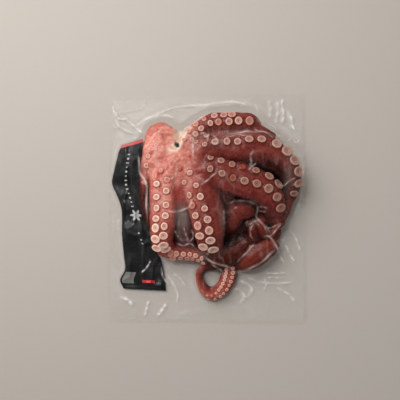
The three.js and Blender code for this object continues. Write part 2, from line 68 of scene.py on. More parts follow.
# Each row of a route is one point of an arm's middle line, going away from the mouth:
# [x, y, z, half width, half height, roll, sucker diameter]. Roll turns the suckered side away from
# straight up, in degrees, to the left of the direction of travel when positive. Spread is the angle
# of the sucker rows from the arm's middle. Each of the rows is: side, 1 to the left and -1 to the
# right, how far its suckers take the skin's red, and where they stand along the arm. Dusk darkens the
# suckers and depth the skin, from the arm's start to its end: depth is 0 for salmon, 1 for maroon and
# 2 for almost black.
# Dusk and depth are partly the skin's own colour and partly painted shade, most on the arms to the
# east, away from the light.
ARMS = {
    "left_big": {"spread": 20, "rows": [
        (1, 0.35, (33,)), (1, 0, (48, 66, 80, 92, 101.5, 109.5, 118)),
        (-1, 0.45, (24,)), (-1, 0, (40, 56, 70, 84, 95, 104.5, 114)),
        (1, 0.1, evenly(133, 186, 8.7)), (-1, 0.35, evenly(138, 184, 8.7))],
        "dusk": (0.0, 0.0), "depth": (0.0, 0.38), "route": [
        [-37, 65, 30, 15, 14, 0, 5.5], [-47, 51, 30, 17, 15, 0, 6.5],
        [-53, 35, 30, 18, 16, -4, 7.5], [-54, 16, 30, 18, 16, -4, 8],
        [-54, -3, 30, 17.5, 16, -5, 8.8], [-55, -21, 30, 16, 15.5, -6, 9.8],
        [-56, -35, 28, 14.8, 15, -7, 11.3], [-55, -46, 20, 13.5, 14, -14, 11.5],
        [-49, -54, 13, 12, 12, -32, 9.5], [-34, -57, 11, 10, 10.5, -36, 7.4],
        [-18, -58, 10, 9.5, 10, -36, 6.8], [-4, -63, 9.5, 9, 9, -36, 6.2],
        [9, -72, 8, 7.5, 7.5, -30, 4]]},
    "middle": {"spread": 19, "rows": [
        (1, 0, (20, 38, 54, 70, 84, 96, 106, 115)),
        (-1, 0.5, (10,)), (-1, 0.1, (26, 48, 62, 76, 90, 102, 112))],
        "dusk": (0.25, 0.42), "depth": (0.3, 0.9), "route": [
        [-26, 63, 30, 16, 14, -10, 5.5], [-19, 47, 30, 19, 15, -22, 6.5],
        [-8, 28, 30, 21, 16, -26, 8], [-2, 9, 30, 22, 16.5, -24, 8.8],
        [3, -10, 30, 22.5, 16.5, -20, 9.4], [5, -25, 29, 21, 16, -19, 10.8],
        [6, -38, 26, 19, 15, -16, 12.2], [7, -48, 18, 15.5, 14, -6, 12],
        [7, -52, 10, 12, 11, 0, 9]]},
    "far_left": {"spread": 22, "rows": [(-1, 0.1, (18, 28)), (-1, 0.3, (52,))],
        "dusk": (0.0, 0.2), "depth": (0.1, 0.7), "route": [
        [-55, 73, 28, 14, 14, 0, 5], [-68, 71, 28, 12, 12, 10, 6], [-74, 59, 25, 10, 11, 22, 7],
        [-77, 45, 19, 9, 10, 22, 7], [-80, 30, 13, 8, 9, 18, 6.5], [-81, 15, 10, 8, 8, 10, 6],
        [-77, -4, 9, 8, 7.5, 0, 5], [-69, -24, 9, 8, 7.5, 0, 4], [-62, -40, 9, 7, 7, 0, 4]]},
    "top": {"spread": 21, "rows": [(1, 0.4, (8, 19, 30, 41, 53, 64, 74)),
        (-1, 0.05, (12, 22, 32, 46, 58, 70, 82)), (-1, 0.4, (94,))],
        "dusk": (0.2, 0.5), "depth": (0.2, 0.65), "route": [
        [-24, 76, 30, 13, 13, 0, 5.5], [-19, 89, 29, 13, 13, 6, 6.5],
        [-7, 101, 28, 13, 13, 14, 7.5], [8, 109, 27, 13, 13, 17, 8], [26, 110, 27, 13, 13, 17, 9],
        [44, 110, 26, 13, 13, 24, 10], [57, 109.5, 25, 12.5, 12.5, 24, 11.5],
        [63, 107.5, 17, 11, 11.5, 14, 11]]},
    "right_outer": {"spread": 20, "rows": [(1, 0.2, (8, 20)),
        (-1, 0, (16, 29, 43, 57, 71, 85, 100, 114, 125, 135, 145, 156))],
        "dusk": (0.65, 0.85), "depth": (0.2, 1.35), "route": [
        [-14, 70, 30, 14, 14, 15, 5.5], [2, 77, 29, 16, 15, 34, 7.5], [19, 78, 29, 17, 15, 39, 9],
        [40, 77, 28, 18, 15.5, 41, 9.5], [60, 76, 28, 20, 16, 52, 10],
        [78, 71, 28, 20.5, 16, 62, 12.5], [92, 62, 27, 19.5, 16, 67, 14],
        [103, 51, 26, 17.5, 15.5, 68, 14], [108, 39, 23, 14.5, 14.5, 66, 13],
        [109, 27, 17, 13, 13, 54, 10], [105, 16, 11, 12, 11, 45, 8]]},
    "right_inner": {"spread": 25, "rows": [
        (1, 0.1, (20, 34, 48, 80, 94, 104)), (1, 0.5, (65,)),
        (-1, 0, (26, 41, 72, 87, 100, 112, 122)), (-1, 0.6, (57,))],
        "dusk": (0.75, 0.95), "depth": (0.25, 1.0), "route": [
        [-16, 60, 30, 14, 14, 10, 5.5], [0, 52, 30, 17, 15, 22, 7.5], [17, 45, 30, 19, 15.5, 25, 9],
        [33, 38, 29, 21, 16, 25, 8.5], [49, 34, 29, 21.5, 16, 24, 9.5],
        [64, 28, 29, 21.5, 16, 31, 11], [77, 19, 28, 20, 16, 43, 12.5],
        [84, 7, 26, 18, 15.5, 56, 13], [87, -5, 21, 15.5, 14.5, 58, 12.5]]},
    "top_left_lobe": {"spread": 34, "rows": [(1, 0.5, (20, 34)), (-1, 0.5, (26, 42))],
        "dusk": (0.0, 0.0), "depth": (0.06, 0.16), "route": [
        [-44, 63, 29, 16, 13, 0, 4], [-54, 76, 27, 21, 13, 0, 4], [-58, 88, 24, 22, 12, 0, 4.5],
        [-58, 98, 19, 20, 11.5, 0, 4], [-56, 105, 12, 14, 10, 0, 0]]},
    "under_ring": {"spread": 22, "rows": [],
        "dusk": (0.0, 0.0), "depth": (0.4, 1.0), "route": [
        [-58, 94, 11, 11, 10.5, 0, 0], [-35, 80, 11, 12, 10.5, 0, 0], [-10, 88, 11, 12, 10.5, 0, 0],
        [20, 101, 11, 12, 10.5, 0, 0], [50, 99, 11, 12, 10.5, 0, 0], [76, 86, 11, 12, 10.5, 0, 0],
        [97, 66, 11, 12, 10.5, 0, 0], [107, 42, 11, 12, 10.5, 0, 0], [104, 18, 11, 12, 10.5, 0, 0],
        [99, -4, 10.5, 11, 10, 0, 0], [92, -18, 9, 9, 8.5, 0, 0]]},
    "tip_loop": {"spread": 26, "rows": [(1, 0, evenly(2, 62, 5.2)), (-1, 0, evenly(4, 62, 5.2))],
        "dusk": (0.0, 0.0), "depth": (0.5, 0.42), "route": [
        [29, -66, 9, 9, 8, 0, 5], [31, -83, 8, 10, 7.5, 0, 5], [27, -96, 7.5, 10, 7, 5, 4.8],
        [18, -107, 7, 9.5, 6.5, 20, 4.4], [6, -112, 6.5, 9, 6.2, 45, 3.6],
        [-3.5, -105, 6, 7.5, 6, 70, 0], [-8, -94, 6, 5.8, 5.5, 90, 0],
        [-7.5, -83, 5.5, 5.4, 5.2, 90, 0], [0, -77, 5.5, 5, 5, 90, 0],
        [12, -77, 5, 4.6, 4.8, 90, 0]]},
}

# Webs and the head's folds: arms without suckers.
FOLDS = {
    "web_inner": {"depth": (0.0, 0.45), "route": [
        [-28, 62, 26, 30, 17], [-31, 42, 26, 20, 16], [-33, 22, 25, 15, 14], [-33, 6, 22, 13, 12],
        [-32, -3, 17, 12, 10]]},
    "web_left": {"depth": (0.0, 0.2), "route": [
        [-52, 80, 25, 22, 16], [-62, 76, 25, 20, 15], [-70, 64, 22, 13, 14], [-74, 50, 16, 9, 10]]},
    "web_outer": {"depth": (0.0, 0.5), "route": [
        [-50, 76, 26, 20, 17], [-62, 58, 25, 14, 14], [-66, 40, 21, 11, 12], [-68, 22, 14, 9, 9]]},
    "web_middle": {"depth": (0.1, 0.9), "route": [
        [-14, 60, 26, 24, 17], [2, 46, 25, 18, 15], [14, 32, 23, 13, 13], [22, 21, 21, 12, 10],
        [31, 13, 19, 11, 9]]},
    "web_right": {"depth": (0.2, 0.9), "route": [
        [-16, 70, 26, 24, 17], [4, 64, 23, 14, 13], [26, 60, 17, 9, 9]]},
    "web_top": {"depth": (0.1, 0.9), "route": [
        [-24, 74, 26, 18, 16], [-8, 86, 26, 13, 14], [8, 94, 24, 10, 13], [26, 96, 23, 9, 12],
        [44, 98, 22, 10, 12], [60, 100, 23, 12, 12], [72, 97, 22, 10, 12], [86, 90, 18, 8.5, 10]]},
    "mantle_near": {"depth": (1.85, 1.6), "route": [
        [-2, -60, 10, 9, 10], [10, -64, 13, 13, 13], [26, -63, 14, 14, 14], [41, -57, 13, 12, 13],
        [55, -45, 12, 8, 10]]},
    "mantle_far": {"depth": (1.12, 1.08), "route": [
        [44, -76, 8, 7, 8], [55, -70, 12, 12, 13], [68, -61, 13, 14, 15], [80, -53, 13, 12.5, 14],
        [90, -46, 11, 8, 10]]},
    "head_lens": {"depth": (1.5, 1.7), "route": [
        [61, -20, 14, 6, 9], [62, -30, 17, 8, 12], [65, -42, 14, 6, 9]]},
    "head_brow": {"depth": (1.2, 1.4), "route": [
        [69, -18, 15, 6, 9], [74, -27, 17, 7.5, 12], [79, -37, 14, 6, 9]]},
    "head_rim": {"depth": (1.25, 1.2), "route": [
        [72, -13, 15, 8, 10], [82, -13, 16, 9, 12], [93, -14, 15, 9, 12], [98, -15, 12, 7, 9]]},
    "head_strip": {"depth": (0.5, 0.3), "route": [
        [79, -41, 12, 4.5, 8], [85, -34, 15, 4.5, 8], [92, -25, 16, 4.5, 8],
        [99, -19, 13, 4.5, 8]]},
    "head_corner": {"depth": (0.7, 0.7), "route": [
        [84, -40, 7, 6, 6], [90, -36, 7, 7, 7], [94, -28, 7, 6, 6]]},
}

# The body under the arms and the head, as ellipsoids:
# [x, y, z, half sizes in x, y, z, turn in degrees], depth of colour.
LOBES = {
    "crown": ([-27, 60, 24, 42, 30, 19, 0], 0.0),
    "crown_west": ([-56, 60, 25, 24, 24, 18, 0], 0.0),
    "crown_left": ([-55, 78, 20, 27, 30, 18, 0], 0.0),
    # head_base lies low between the head's folds; its almost-black colour is painted shade in those
    # valleys.
    "head_base": ([50, -34, 7, 40, 34, 9, 15], 1.9),
    "dome_top": ([45, -3, 14, 24, 13, 14, 0], 1.08),
    "dome_low": ([36, -14, 13, 12, 24, 14, -26], 1.08),
    "floor_gap": ([26, -14, 11, 12, 27, 14, 0], 1.15),
    "floor_left": ([-27, -8, 12, 24, 50, 15, 0], 0.9),
    "floor_right": ([34, 12, 10, 34, 32, 12, 0], 1.0),
    "core_left": ([-22, 30, 13, 55, 56, 14, 0], 0.6),
    "core_right": ([50, 54, 14, 56, 44, 15, 0], 1.0),
    "core_top": ([-22, 82, 15, 42, 22, 14, 4], 0.1),
}

WIDTH, HEIGHT, ROLL, SUCKER = 3, 4, 5, 6  # columns of a route

TUBE_SIDES = 40  # points round an arm
TUBE_STEP = 2.0  # distance between an arm's sections
TUBE_CAP_RINGS = 6  # sections of an arm's rounded end
CAP_TURN = math.pi / 2 - 0.05  # how far that end turns in before its small lid
CAP_REACH = 0.45  # how far that end reaches, as a share of the smaller half size
OVAL_POWER = 0.86  # under 1, an arm is squarer than an ellipse, as film presses it
GROOVE = 0.05  # depth of the groove between two sucker rows, as a share of the half size
GROOVE_WIDTH = 9.0  # degrees
LOBE_RINGS = 24
LOBE_SIDES = 48
LOBE_POLE = 0.02  # radians between its pole and its first ring
FLESH_TOP = 43.5  # the film presses everything below this height
FLESH_SOFTNESS = 1.8
FLESH_FLOOR = 1.2  # under side of the flesh, on the bag's under side

# Relief of the skin. A layer of noise is (spacing, height, seed), here and below.
LUMPS = ((14.0, 0.8, 11), (6.0, 0.55, 12), (3.4, 0.28, 13))
STREAK_WIDE, STREAK_LONG = 4.5, 15.0  # of the folds that run along an arm
STREAK_APART = 3.0  # how far apart the noise of two shapes lies
STREAK_SEED = 14
STREAK_HEIGHT = 0.55
STREAK_ON_SUCKERED = 0.4  # share of that height on the suckered side

# Colour of the skin, from how a point lies to the shapes around it.
SAMPLE_STEP = 3 * TUBE_STEP  # between the places that stand for an arm
BELONG_SHARPNESS = 14.0  # how sharply the colours of two touching arms part
ORAL_FULL, ORAL_NONE = 26.0, 58.0  # degrees from the arm's middle where the suckered side ends
# The flanks' deeper colour is partly the darker skin of an arm's back and partly painted shade where
# the flanks turn away from the light.
FLANK_FROM, FLANK_TO, FLANK_DEEP = 45.0, 110.0, 0.9  # an arm's flanks are deeper in colour
FLANK_PALE = 0.35  # share of that on the palest arms
WEB_LOBES = ("floor_left", "core_left")
MANTLE_NAMES = ("mantle", "head")
# The deepening to the east is partly the skin's own colour and partly painted shade where the light
# falls off.
EAST_FROM, EAST_TO, EAST_DEPTH = -32.0, 6.0, 1.0  # the skin deepens from west to east
TIP_FROM, TIP_TO = -90.0, -76.0  # but not south of here, on the looped tip
CROWN_PLACE, CROWN_SIZE = (-46.0, 72.0), (30.0, 36.0)  # pale all over
CROWN_FADE = 0.5  # and fading out over this share of its size
# The ring of red round each sucker is partly the skin's own and partly painted shade where the sucker
# meets the skin.
RED_AND_SHADE_RING = (1.15, 0.28)  # where the skin is reddest round a sucker and how wide, in sucker radii
RED_AND_SHADE_RING_FAR = 9.0  # a distance without any redness
# Painted shade in the gaps between the arms: the skin darkens with its depth under a bridge rolled
# over them.
HOLLOW_STEP = 2.0  # between the points of the grid that the bridge is found on
HOLLOW_ROLL = 16.0  # radius that bridges the arms
HOLLOW_FROM, HOLLOW_TO = 1.5, 14.0  # depths under that bridge where the skin darkens
HOLLOW_FACING, HOLLOW_FACING_SPAN = -0.3, 0.5  # rise of the skin from which that shows

# ---- the mouth -----------------------------------------------------------------------------------

MOUTH = (-36.0, 80.5)  # middle of the hole left by the beak
MOUTH_RADIUS = (2.5, 3.6)  # of the hole, across and along
MOUTH_TURN = -35.0  # degrees
MOUTH_DEPTH = 10.0
# The hole darkens with painted shade.
MOUTH_DARK = 1.6  # how soon the hole gets dark
MOUTH_RIM = (5.2, 1.5, 1.1)  # radius, width and height of its raised rim
MOUTH_OPEN = 0.8  # direction in which the rim fades into the notch, in radians from +X
MOUTH_FACING = 0.1  # least rise of the skin that the mouth shapes
MOUTH_CREAM, MOUTH_CREAM_FADE = 3.6, 4.0  # radius of the cream colour, and where it fades out
# Pale lip that runs round the mouth and up into the notch, and its half width.
MOUTH_LIP = [(-47, 75), (-43, 73), (-37.5, 72.6), (-31.7, 77.3), (-28.6, 88), (-24, 96), (-19, 102)]
LIP_WIDTH = 2.3
LIP_RAGGED = ((5.0, 1.8, 15),)
LIP_RAGGED_SHARE = 0.5
NOTCH = (-33.0, 96.0)  # pale hollow between the arms above the mouth
NOTCH_RADIUS, NOTCH_SQUEEZE, NOTCH_CREAM = 7.5, 0.75, 0.95

# ---- suckers -------------------------------------------------------------------------------------
# The cup's profile from its sunk foot to the middle: (share of the radius, height over the radius).

CUP_FINE = [(0.9, -0.6), (0.98, -0.1), (1.0, 0.05), (0.97, 0.14), (0.88, 0.2), (0.74, 0.2),
            (0.58, 0.15), (0.42, 0.12), (0.3, 0.12), (0.2, 0.06), (0.02, 0.03)]
CUP_PLAIN = [(0.92, -0.6), (1.0, 0.03), (0.92, 0.18), (0.72, 0.19), (0.4, 0.12), (0.2, 0.06),
             (0.02, 0.04)]
FINE_FROM = 8.0  # suckers from this diameter have the fine cup
SUCKER_LEAN = 0.3  # how far the film presses a sucker to face up
SUCKER_OVAL = 0.09  # how uneven suckers are in length and width
SUCKER_UNEVEN = 0.08  # how uneven they are in size
SUCKER_SHIFT = 0.4
SUCKER_FLATTENED = 0.35  # how far suckers are pressed together where their arm slopes
SUCKER_HIDDEN = 0.93  # a sucker this deep in another arm is left out
SMALLEST_SUCKER = 2.4
SUCKER_SEED = 5
SEAT_SHARE = 0.8  # share of the skin below a sucker's foot
SEAT_LIFT = (-0.6, 2.4)  # least and most that a sucker is lifted to sit so
FINE_SIDES = 18
PLAIN_SIDES = 12
FLANK_BELOW, FLANK_FADE = -0.15, 0.3  # height over the radius below which a cup has the skin's red
BLUSHING = 0.08  # share of the suckers that are as red as the skin
BLUSH_FULL, BLUSH_ANY = 0.5, 0.15  # how red those are, and how red any other is at most
BLUSH_WIDEST = 5.0  # radius up to which suckers are so red
SMALL_BLUSH, SMALL_UP_TO = 0.2, 4.4  # redness of small suckers, and the radius where it ends
BROAD_FROM = 4.6  # above this radius the ring inside the rim is fainter
BROAD_FADE = 2.0  # in radii, of that and of the small suckers' redness

# ---- label ---------------------------------------------------------------------------------------
# [y at its middle, left edge x, right edge x] down its length.

LABEL_ROWS = [
    [90, -115, -86], [82, -118, -86], [66, -121.5, -87.5], [52, -124.5, -88], [34, -127.5, -87],
    [16, -120, -84], [2, -115, -81], [-18, -113.5, -78.5], [-36, -113.5, -76], [-52, -112, -69.5],
    [-66, -110.5, -61.5], [-84, -109.5, -57], [-97, -115.5, -55], [-108, -111, -54],
]
LABEL_TILT = 8.5  # how much higher the right end of its top edge is
LABEL_TILT_FADE = 6.0  # and how fast that is lost down its length
LABEL_DROOP = 2.5  # how much lower the right end of its bottom edge is
LABEL_COLUMNS = 44  # points across
LABEL_STEP = 1.4  # between the points down its length
LABEL_HEIGHT = 3.1  # of its top over the floor
LABEL_THICK = 0.5
LABEL_CREASES = ((34.0, 1.5, 21), (15.0, 0.9, 22), (7.0, 0.35, 23))
LABEL_FOLDS = ((13.0, 1.6, 24),)  # sharp ones
LABEL_FOLD_STRETCH = (1.0, 0.45, 1.0)
LABEL_LOWEST_FOLD = -1.2
LABEL_EDGES = (7.0, 30.0)  # how soon the folds start from its sides and from its ends

PRINT_RAISE = 0.12  # height over the label
PRINT_FINENESS = 14  # points along each side of a bar
PATCH_HOLE = 0.04  # a round patch is open in its middle, as a share of its radius
PATCH_RINGS = 5
DOT_POINTS = 40
# Fields of print: share across, share down, width, length, ink.
PRINT_FIELDS = [
    (0.5, 0.012, 30.0, 4.2, "red"),
    (0.63, 0.945, 17.0, 3.6, "red"),
    (0.17, 0.925, 15.0, 15.0, "grey"),
]
# A column of bars, of two widths in turn, with every third one a dot.
PRINT_COLUMN = {"across": 0.46, "first": 0.085, "last": 0.44, "count": 13, "widths": (3.6, 2.2),
                "length": 1.5, "dot": 1.5}
PRINT_EMBLEM = {"across": 0.56, "down": 0.5, "radius": 8.0, "points": 96, "petals": 6, "waist": 0.28}
PRINT_DOTS = ((0.63, 0.62), (0.66, 0.665), (0.665, 0.69))
PRINT_DOT = 1.1

# ---- film ----------------------------------------------------------------------------------------

BAG_WIDTH = 264.0
BAG_LENGTH = 304.0
BAG_SEAL = 6.0  # width of its sealed edge
FILM_STEP = 1.06  # between the points of its grid
FILM_ROLL = 7.5  # smallest radius of a hollow that the film follows
FILM_CLEAR = 0.6  # least height over what lies under it
FILM_GLOSS = 0.010  # share of light that the film mirrors face on
FILM_GRAZE = 0.3  # and at grazing angles
FILM_LOWEST = 0.9  # its height where nothing lies under it
FILM_TALLEST = 60.0  # height over which a hollow's bridge is looked for
FILM_EDGE = 0.2  # height of the sealed edge
FILM_EDGE_SHARE = 0.04  # share of the film's height that the edge keeps
FILM_OVER_FOOD = ("octopus_flesh", "octopus_suckers")
FILM_OVER_LABEL = ("label_film", "print_white")
# Creases of the film: height, width, haze and the points that each runs through. Their haze is partly
# the film's own and partly a painted highlight.
CREASES = {
    "long_right": (1.6, 1.1, 0.9, [(-6, 28), (3, 34), (9.5, 40), (17, 45)]),
    "veil_edge": (2.0, 1.5, 0.8, [
        (-49, -4.5), (-41, -5.6), (-32, -4.3), (-24, -1.2), (-19, 1), (-17, 6), (-17, 12)]),
    "hook": (1.2, 1.7, 0.8, [(-45, 35), (-39, 39), (-36, 46), (-36, 51)]),
    "left_upright": (0.9, 2.2, 0.35, [(-64, 88), (-63, 73), (-63, 60), (-62, 46)]),
    "mouth_upright": (1.0, 1.4, 0.8, [(-16, 83), (-15, 73), (-15, 65)]),
    "lobe_stroke": (0.9, 1.2, 0.7, [(-69, 91), (-63, 96), (-56, 102)]),
    "gap_curl": (1.8, 1.4, 0.55, [(63, 73), (58, 66), (59, 56), (57, 50)]),
    "gap_tick": (1.2, 1.1, 0.7, [(55, 47), (60, 52), (65, 56)]),
    "east_stroke": (1.4, 1.2, 0.6, [(92, 30), (99, 27), (106, 33), (116, 38)]),
    "arm_seam": (1.6, 1.2, 0.65, [
        (28, 93), (42, 95), (56, 97), (61, 96), (73, 97), (83, 94), (91, 90)]),
    "curl_one": (1.0, 1.4, 0.75, [(-9, 92), (-2, 95), (3, 92), (4, 87), (1.5, 82)]),
    "curl_two": (1.0, 1.4, 0.7, [(10, 93), (14, 88), (18, 83), (14, 80), (8, 84)]),
    "left_edge": (2.2, 2.1, 0.95, [
        (-89, 70), (-87, 59), (-86, 47), (-80, 38), (-76, 29), (-76, 16), (-77, 2), (-75, -12)]),
    "mouth_rim": (1.6, 1.4, 0.8, [
        (-28, 84), (-28, 92), (-25, 101), (-18, 105), (-6.6, 114), (5, 122)]),
    "dome_arc": (1.4, 1.2, 0.4, [(29, 6), (39, 8.4), (51, 8.3), (60, 5.8), (65, 3.3)]),
    "swirl": (1.4, 1.0, 0.6, [
        (65, 3), (67, -2), (66, -7), (65, -11), (69, -16), (74, -21), (80, -27), (83, -35)]),
    "swirl_arm": (1.2, 1.2, 0.5, [(57, -22), (62, -18), (69, -16)]),
    "east_tail": (2.0, 1.4, 0.9, [
        (74, -38), (80, -36), (84, -39), (90, -48), (97, -63), (104, -75)]),
    "head_crease": (1.5, 1.2, 0.6, [(40, -70), (47, -63), (55, -55), (60, -49), (65, -46)]),
    "south_ridge": (2.4, 1.4, 0.8, [
        (-5, -60), (1.5, -65), (9, -70), (18, -73), (29, -76), (35, -80), (41, -86)]),
    "south_ridge_two": (1.8, 1.2, 0.6, [(6, -70), (14, -77), (21, -82), (23, -90)]),
    "middle_fall": (1.6, 1.2, 0.6, [(9, -49), (5, -56), (1, -62)]),
    "head_outline": (1.6, 1.7, 0.95, [
        (38, -84), (48, -82), (59, -77), (73, -69), (84, -58), (92, -52)]),
    "veil_upright": (1.2, 1.6, 0.3, [(-33, -14), (-34, -26), (-33, -36), (-28, -45)]),
    "band_upright": (1.2, 1.4, 0.5, [(24, -2), (24, -12), (25, -22)]),
    "south_west_one": (1.4, 2.0, 0.75, [(-82, -143), (-80, -133), (-77, -122)]),
    "south_west_two": (1.4, 2.4, 0.85, [(-65, -143), (-58, -133), (-53, -126)]),
    "rung_one": (1.2, 1.4, 0.7, [(76, -85), (91, -86), (104, -85)]),
    "rung_two": (1.0, 1.2, 0.5, [(76, -90), (89, -91), (102, -91)]),
    "rung_tail": (1.2, 1.4, 0.6, [(75, -91), (79, -100), (76, -108)]),
    "north_east_one": (2.0, 2.0, 0.6, [(103, 148), (101, 139), (103, 127), (101, 112)]),
    "north_east_two": (1.6, 2.0, 0.8, [(108, 130), (113, 121), (115, 109), (121, 100)]),
    "north_west": (1.4, 1.3, 0.7, [(-124, 132), (-119, 122), (-107, 122)]),
    "south_east": (1.4, 1.6, 0.7, [(96, -37), (104, -48), (111, -63), (118, -73)]),
    "tent_west": (1.6, 1.6, 0.6, [(-110, 122), (-94, 108), (-80, 96)]),
    "tent_north": (1.4, 2.0, 0.35, [
        (-77, 121), (-62, 130), (-45, 136), (-8, 139), (47, 141), (65, 134)]),
    "tent_east": (2.2, 2.0, 0.55, [(66, 138), (69, 128), (75, 119), (83, 111), (98, 101)]),
    "south_fan_one": (1.6, 1.2, 0.6, [(-52, -88), (-44, -100), (-38, -116), (-40, -128)]),
    "south_fan_two": (1.4, 1.1, 0.5, [(-44, -86), (-34, -94), (-28, -104)]),
    "label_stroke": (1.2, 1.2, 0.9, [(-87, -86), (-80, -79), (-74, -69)]),
    "south_left_tick": (1.6, 2.4, 0.9, [(-116, -118), (-104, -123), (-97, -131)]),
    "south_pool": (1.2, 2.4, 0.6, [(40, -94), (52, -99), (60, -106), (57, -114), (46, -118)]),
    "south_pool_two": (1.2, 2.0, 0.55, [(34, -104), (44, -108), (50, -116), (44, -126)]),
    "west_fan": (1.6, 1.3, 0.6, [(-126, 128), (-120, 114), (-110, 106), (-98, 101)]),
    "north_arc": (0.8, 2.0, 0.35, [(-100, 108), (-84, 120), (-58, 126), (-36, 120)]),
    "seam_two": (1.2, 1.0, 0.6, [(62, 103), (66, 98), (76, 96), (88, 88)]),
    "seam_three": (1.0, 0.9, 0.55, [(22, 91), (32, 90), (42, 93), (52, 91), (60, 92)]),
    "shoulder": (2.0, 1.3, 0.6, [(66, 121), (67, 115), (69, 111), (77, 104), (90, 97), (102, 89)]),
    "veil_one": (1.2, 1.0, 0.85, [(-39, -28), (-36, -36), (-31, -43)]),
    "veil_two": (1.2, 1.0, 0.8, [(-28, -24), (-26, -33), (-22, -42)]),
    "veil_three": (1.2, 1.1, 0.85, [(-38, -45), (-29, -49), (-20, -46), (-14, -50)]),
    "veil_four": (1.2, 0.9, 0.7, [(-18, -27), (-15, -36), (-20, -43), (-27, -40)]),
    "south_east_two": (1.4, 1.5, 0.6, [(112, -30), (119, -42), (124, -58)]),
    "south_east_three": (1.4, 1.6, 0.55, [(92, -104), (106, -112), (118, -124)]),
    "lens_ring": (1.0, 0.9, 0.6, [(66, -15), (72, -20), (77, -27), (79, -33)]),
    "lens_ring_two": (1.0, 0.9, 0.5, [(64, -19), (58, -27), (58, -36), (63, -43)]),
    "rim_line": (1.2, 1.0, 0.7, [(76, -26), (83, -26), (92, -22), (98, -20)]),
    "rim_line_two": (1.2, 1.1, 0.8, [(98, -20), (90, -29), (84, -36), (80, -37)]),
    "hole_one": (0.9, 0.8, 0.5, [(66, 0), (72, 1), (80, -2)]),
    "hole_two": (0.9, 0.8, 0.45, [(66, -4), (73, -5), (79, -6)]),
    "east_fan": (1.8, 1.3, 0.65, [(104, 86), (112, 90), (119, 86), (124, 92)]),
    "east_fan_two": (1.4, 1.3, 0.5, [(110, 30), (118, 27), (127, 30)]),
    "north_bands": (1.4, 2.6, 0.4, [(84, 146), (86, 132), (84, 118)]),
    "north_bands_two": (1.2, 2.2, 0.4, [(95, 146), (96, 128), (92, 112)]),
    "south_pleat": (1.6, 1.2, 0.55, [(-60, -78), (-58, -90), (-50, -102)]),
    "south_long": (1.4, 1.6, 0.5, [(48, -88), (66, -96), (92, -99), (116, -97)]),
    "west_corner": (1.4, 1.4, 0.7, [(-128, 140), (-125, 130), (-120, 124)]),
    "east_run": (2.2, 2.4, 0.6, [(112, 82), (121, 66), (125, 44), (124, 18), (118, -8)]),
}
# Whitish patches of the film, partly its own haze and partly painted highlights and reflections: x,
# y, half sizes, haze.
HAZE_AND_SHEEN_PATCHES = {
    "veil": (-31, -13, 9, 17, 0.32),
    "arm_band": (-63, 72, 2.2, 15, 0.16),
    "mouth_band": (-15, 74, 1.6, 14, 0.16),
    "seam_glow": (40, 95, 26, 4.5, 0.12),
    "crown_glow": (-50, 82, 12, 10, 0.02),
    "band": (22, -12, 4.5, 20, 0.11),
    "dome": (60, 5, 7, 4, 0.05),
    "east_rim": (106, 40, 6, 26, 0.12),
}
CREASE_STEP = 2.5  # distance between the points of a crease's curve
CREASE_REACH = 9.0  # beyond this distance a crease has no height
CREASE_FADE, CREASE_END = 5.0, 0.15  # how soon it grows from its ends, and what it has there
CREASE_UNEVEN, CREASE_BEATS, CREASE_PHASE = 0.3, 17.0, 9.0  # it swells and sinks along its length
CREASE_WHITE = 0.8  # width of its haze, as a share of its own

FOOD_FROM, FOOD_SPAN = 4.0, 8.0  # heights at which the film counts as lying over the octopus
SEAL_FROM = 1.0
MARGIN_LIFT = 0.8
MARGIN_WAVES = ((46.0, 0.6, 31), (21.0, 0.3, 32))
MARGIN_LOWEST_WAVE = -0.7
MARGIN_CRUMPLES = ((24.0, 0.6, 33), (11.0, 0.25, 34))
LABEL_TIGHTNESS = 0.6  # how far the margin's waves are lost over the label
FOOD_CRUMPLES = ((10.0, 0.6, 35), (5.0, 0.3, 36))
FOOD_STRETCH = (1.5, 0.75, 1.0)  # wrinkles over the octopus run more along the bag
FOOD_WRINKLE = 0.8
FILM_SMOOTHING = 4

# Whitish look of the film, partly its own haze and partly painted highlights and reflections: spacing
# and seed of the noise in each part, and how strong it is.
MIST_NOISE, MIST_SHIFT, MIST_HAZE_AND_SHEEN = (38.0, 40), 0.5, 0.05  # in the margin
PATCHY_NOISE, PATCHY_GAIN, PATCHY_SHIFT = (30.0, 39), 1.6, 0.35  # where threads and wrinkles show
THREAD_STRETCH = (1.3, 0.45, 1.0)  # fine white creases over the octopus
THREAD_NOISE, THREAD_HAZE_AND_SHEEN = (9.0, 41), 0.11
WRINKLE_HAZE_AND_SHEEN = 0.05
SEAM_NOISE, SEAM_HAZE_AND_SHEEN = (13.0, 38), 0.05  # where the film bridges a gap between arms
BRIDGE_FROM, BRIDGE_SPAN = 1.5, 7.0  # heights over what lies under it
CRUMPLE_HAZE_AND_SHEEN = 0.06
SKIRT_NOISE, SKIRT_HAZE_AND_SHEEN = (9.0, 37), 0.18  # where it comes down round the octopus
SKIRT_FROM, SKIRT_SPAN = 0.8, 3.0
SKIRT_TO, SKIRT_TO_SPAN = 14.0, 12.0
SKIRT_PLAIN = 0.45  # share of that haze without its creases
CREASE_HAZE_AND_SHEEN = (0.8, 0.6)  # share of the creases' haze in the margin and over the octopus
LABEL_HAZE_AND_SHEEN_LOSS = 0.92  # how far the label's film is free of all but the creases' haze

# ---- stage ---------------------------------------------------------------------------------------

CAMERA_PLACE = (0.038, -0.0247, 0.750)
CAMERA_TARGET = (-0.0087, 0.0114, 0.0)
CAMERA_LENS = 50.5
CAMERA_SENSOR = 36.0
# Lights: place, target, size across and along in metres, power in watts, colour.
LIGHTS = {
    "window": ((-0.60, 0.75, 0.90), (0.0, 0.02, 0.0), (1.3, 1.0), 17.0, (1.0, 0.985, 0.965)),
    "glint": ((-0.16, 0.24, 0.80), (0.0, 0.0, 0.0), (0.3, 0.06), 1.3, (1.0, 1.0, 1.0)),
}
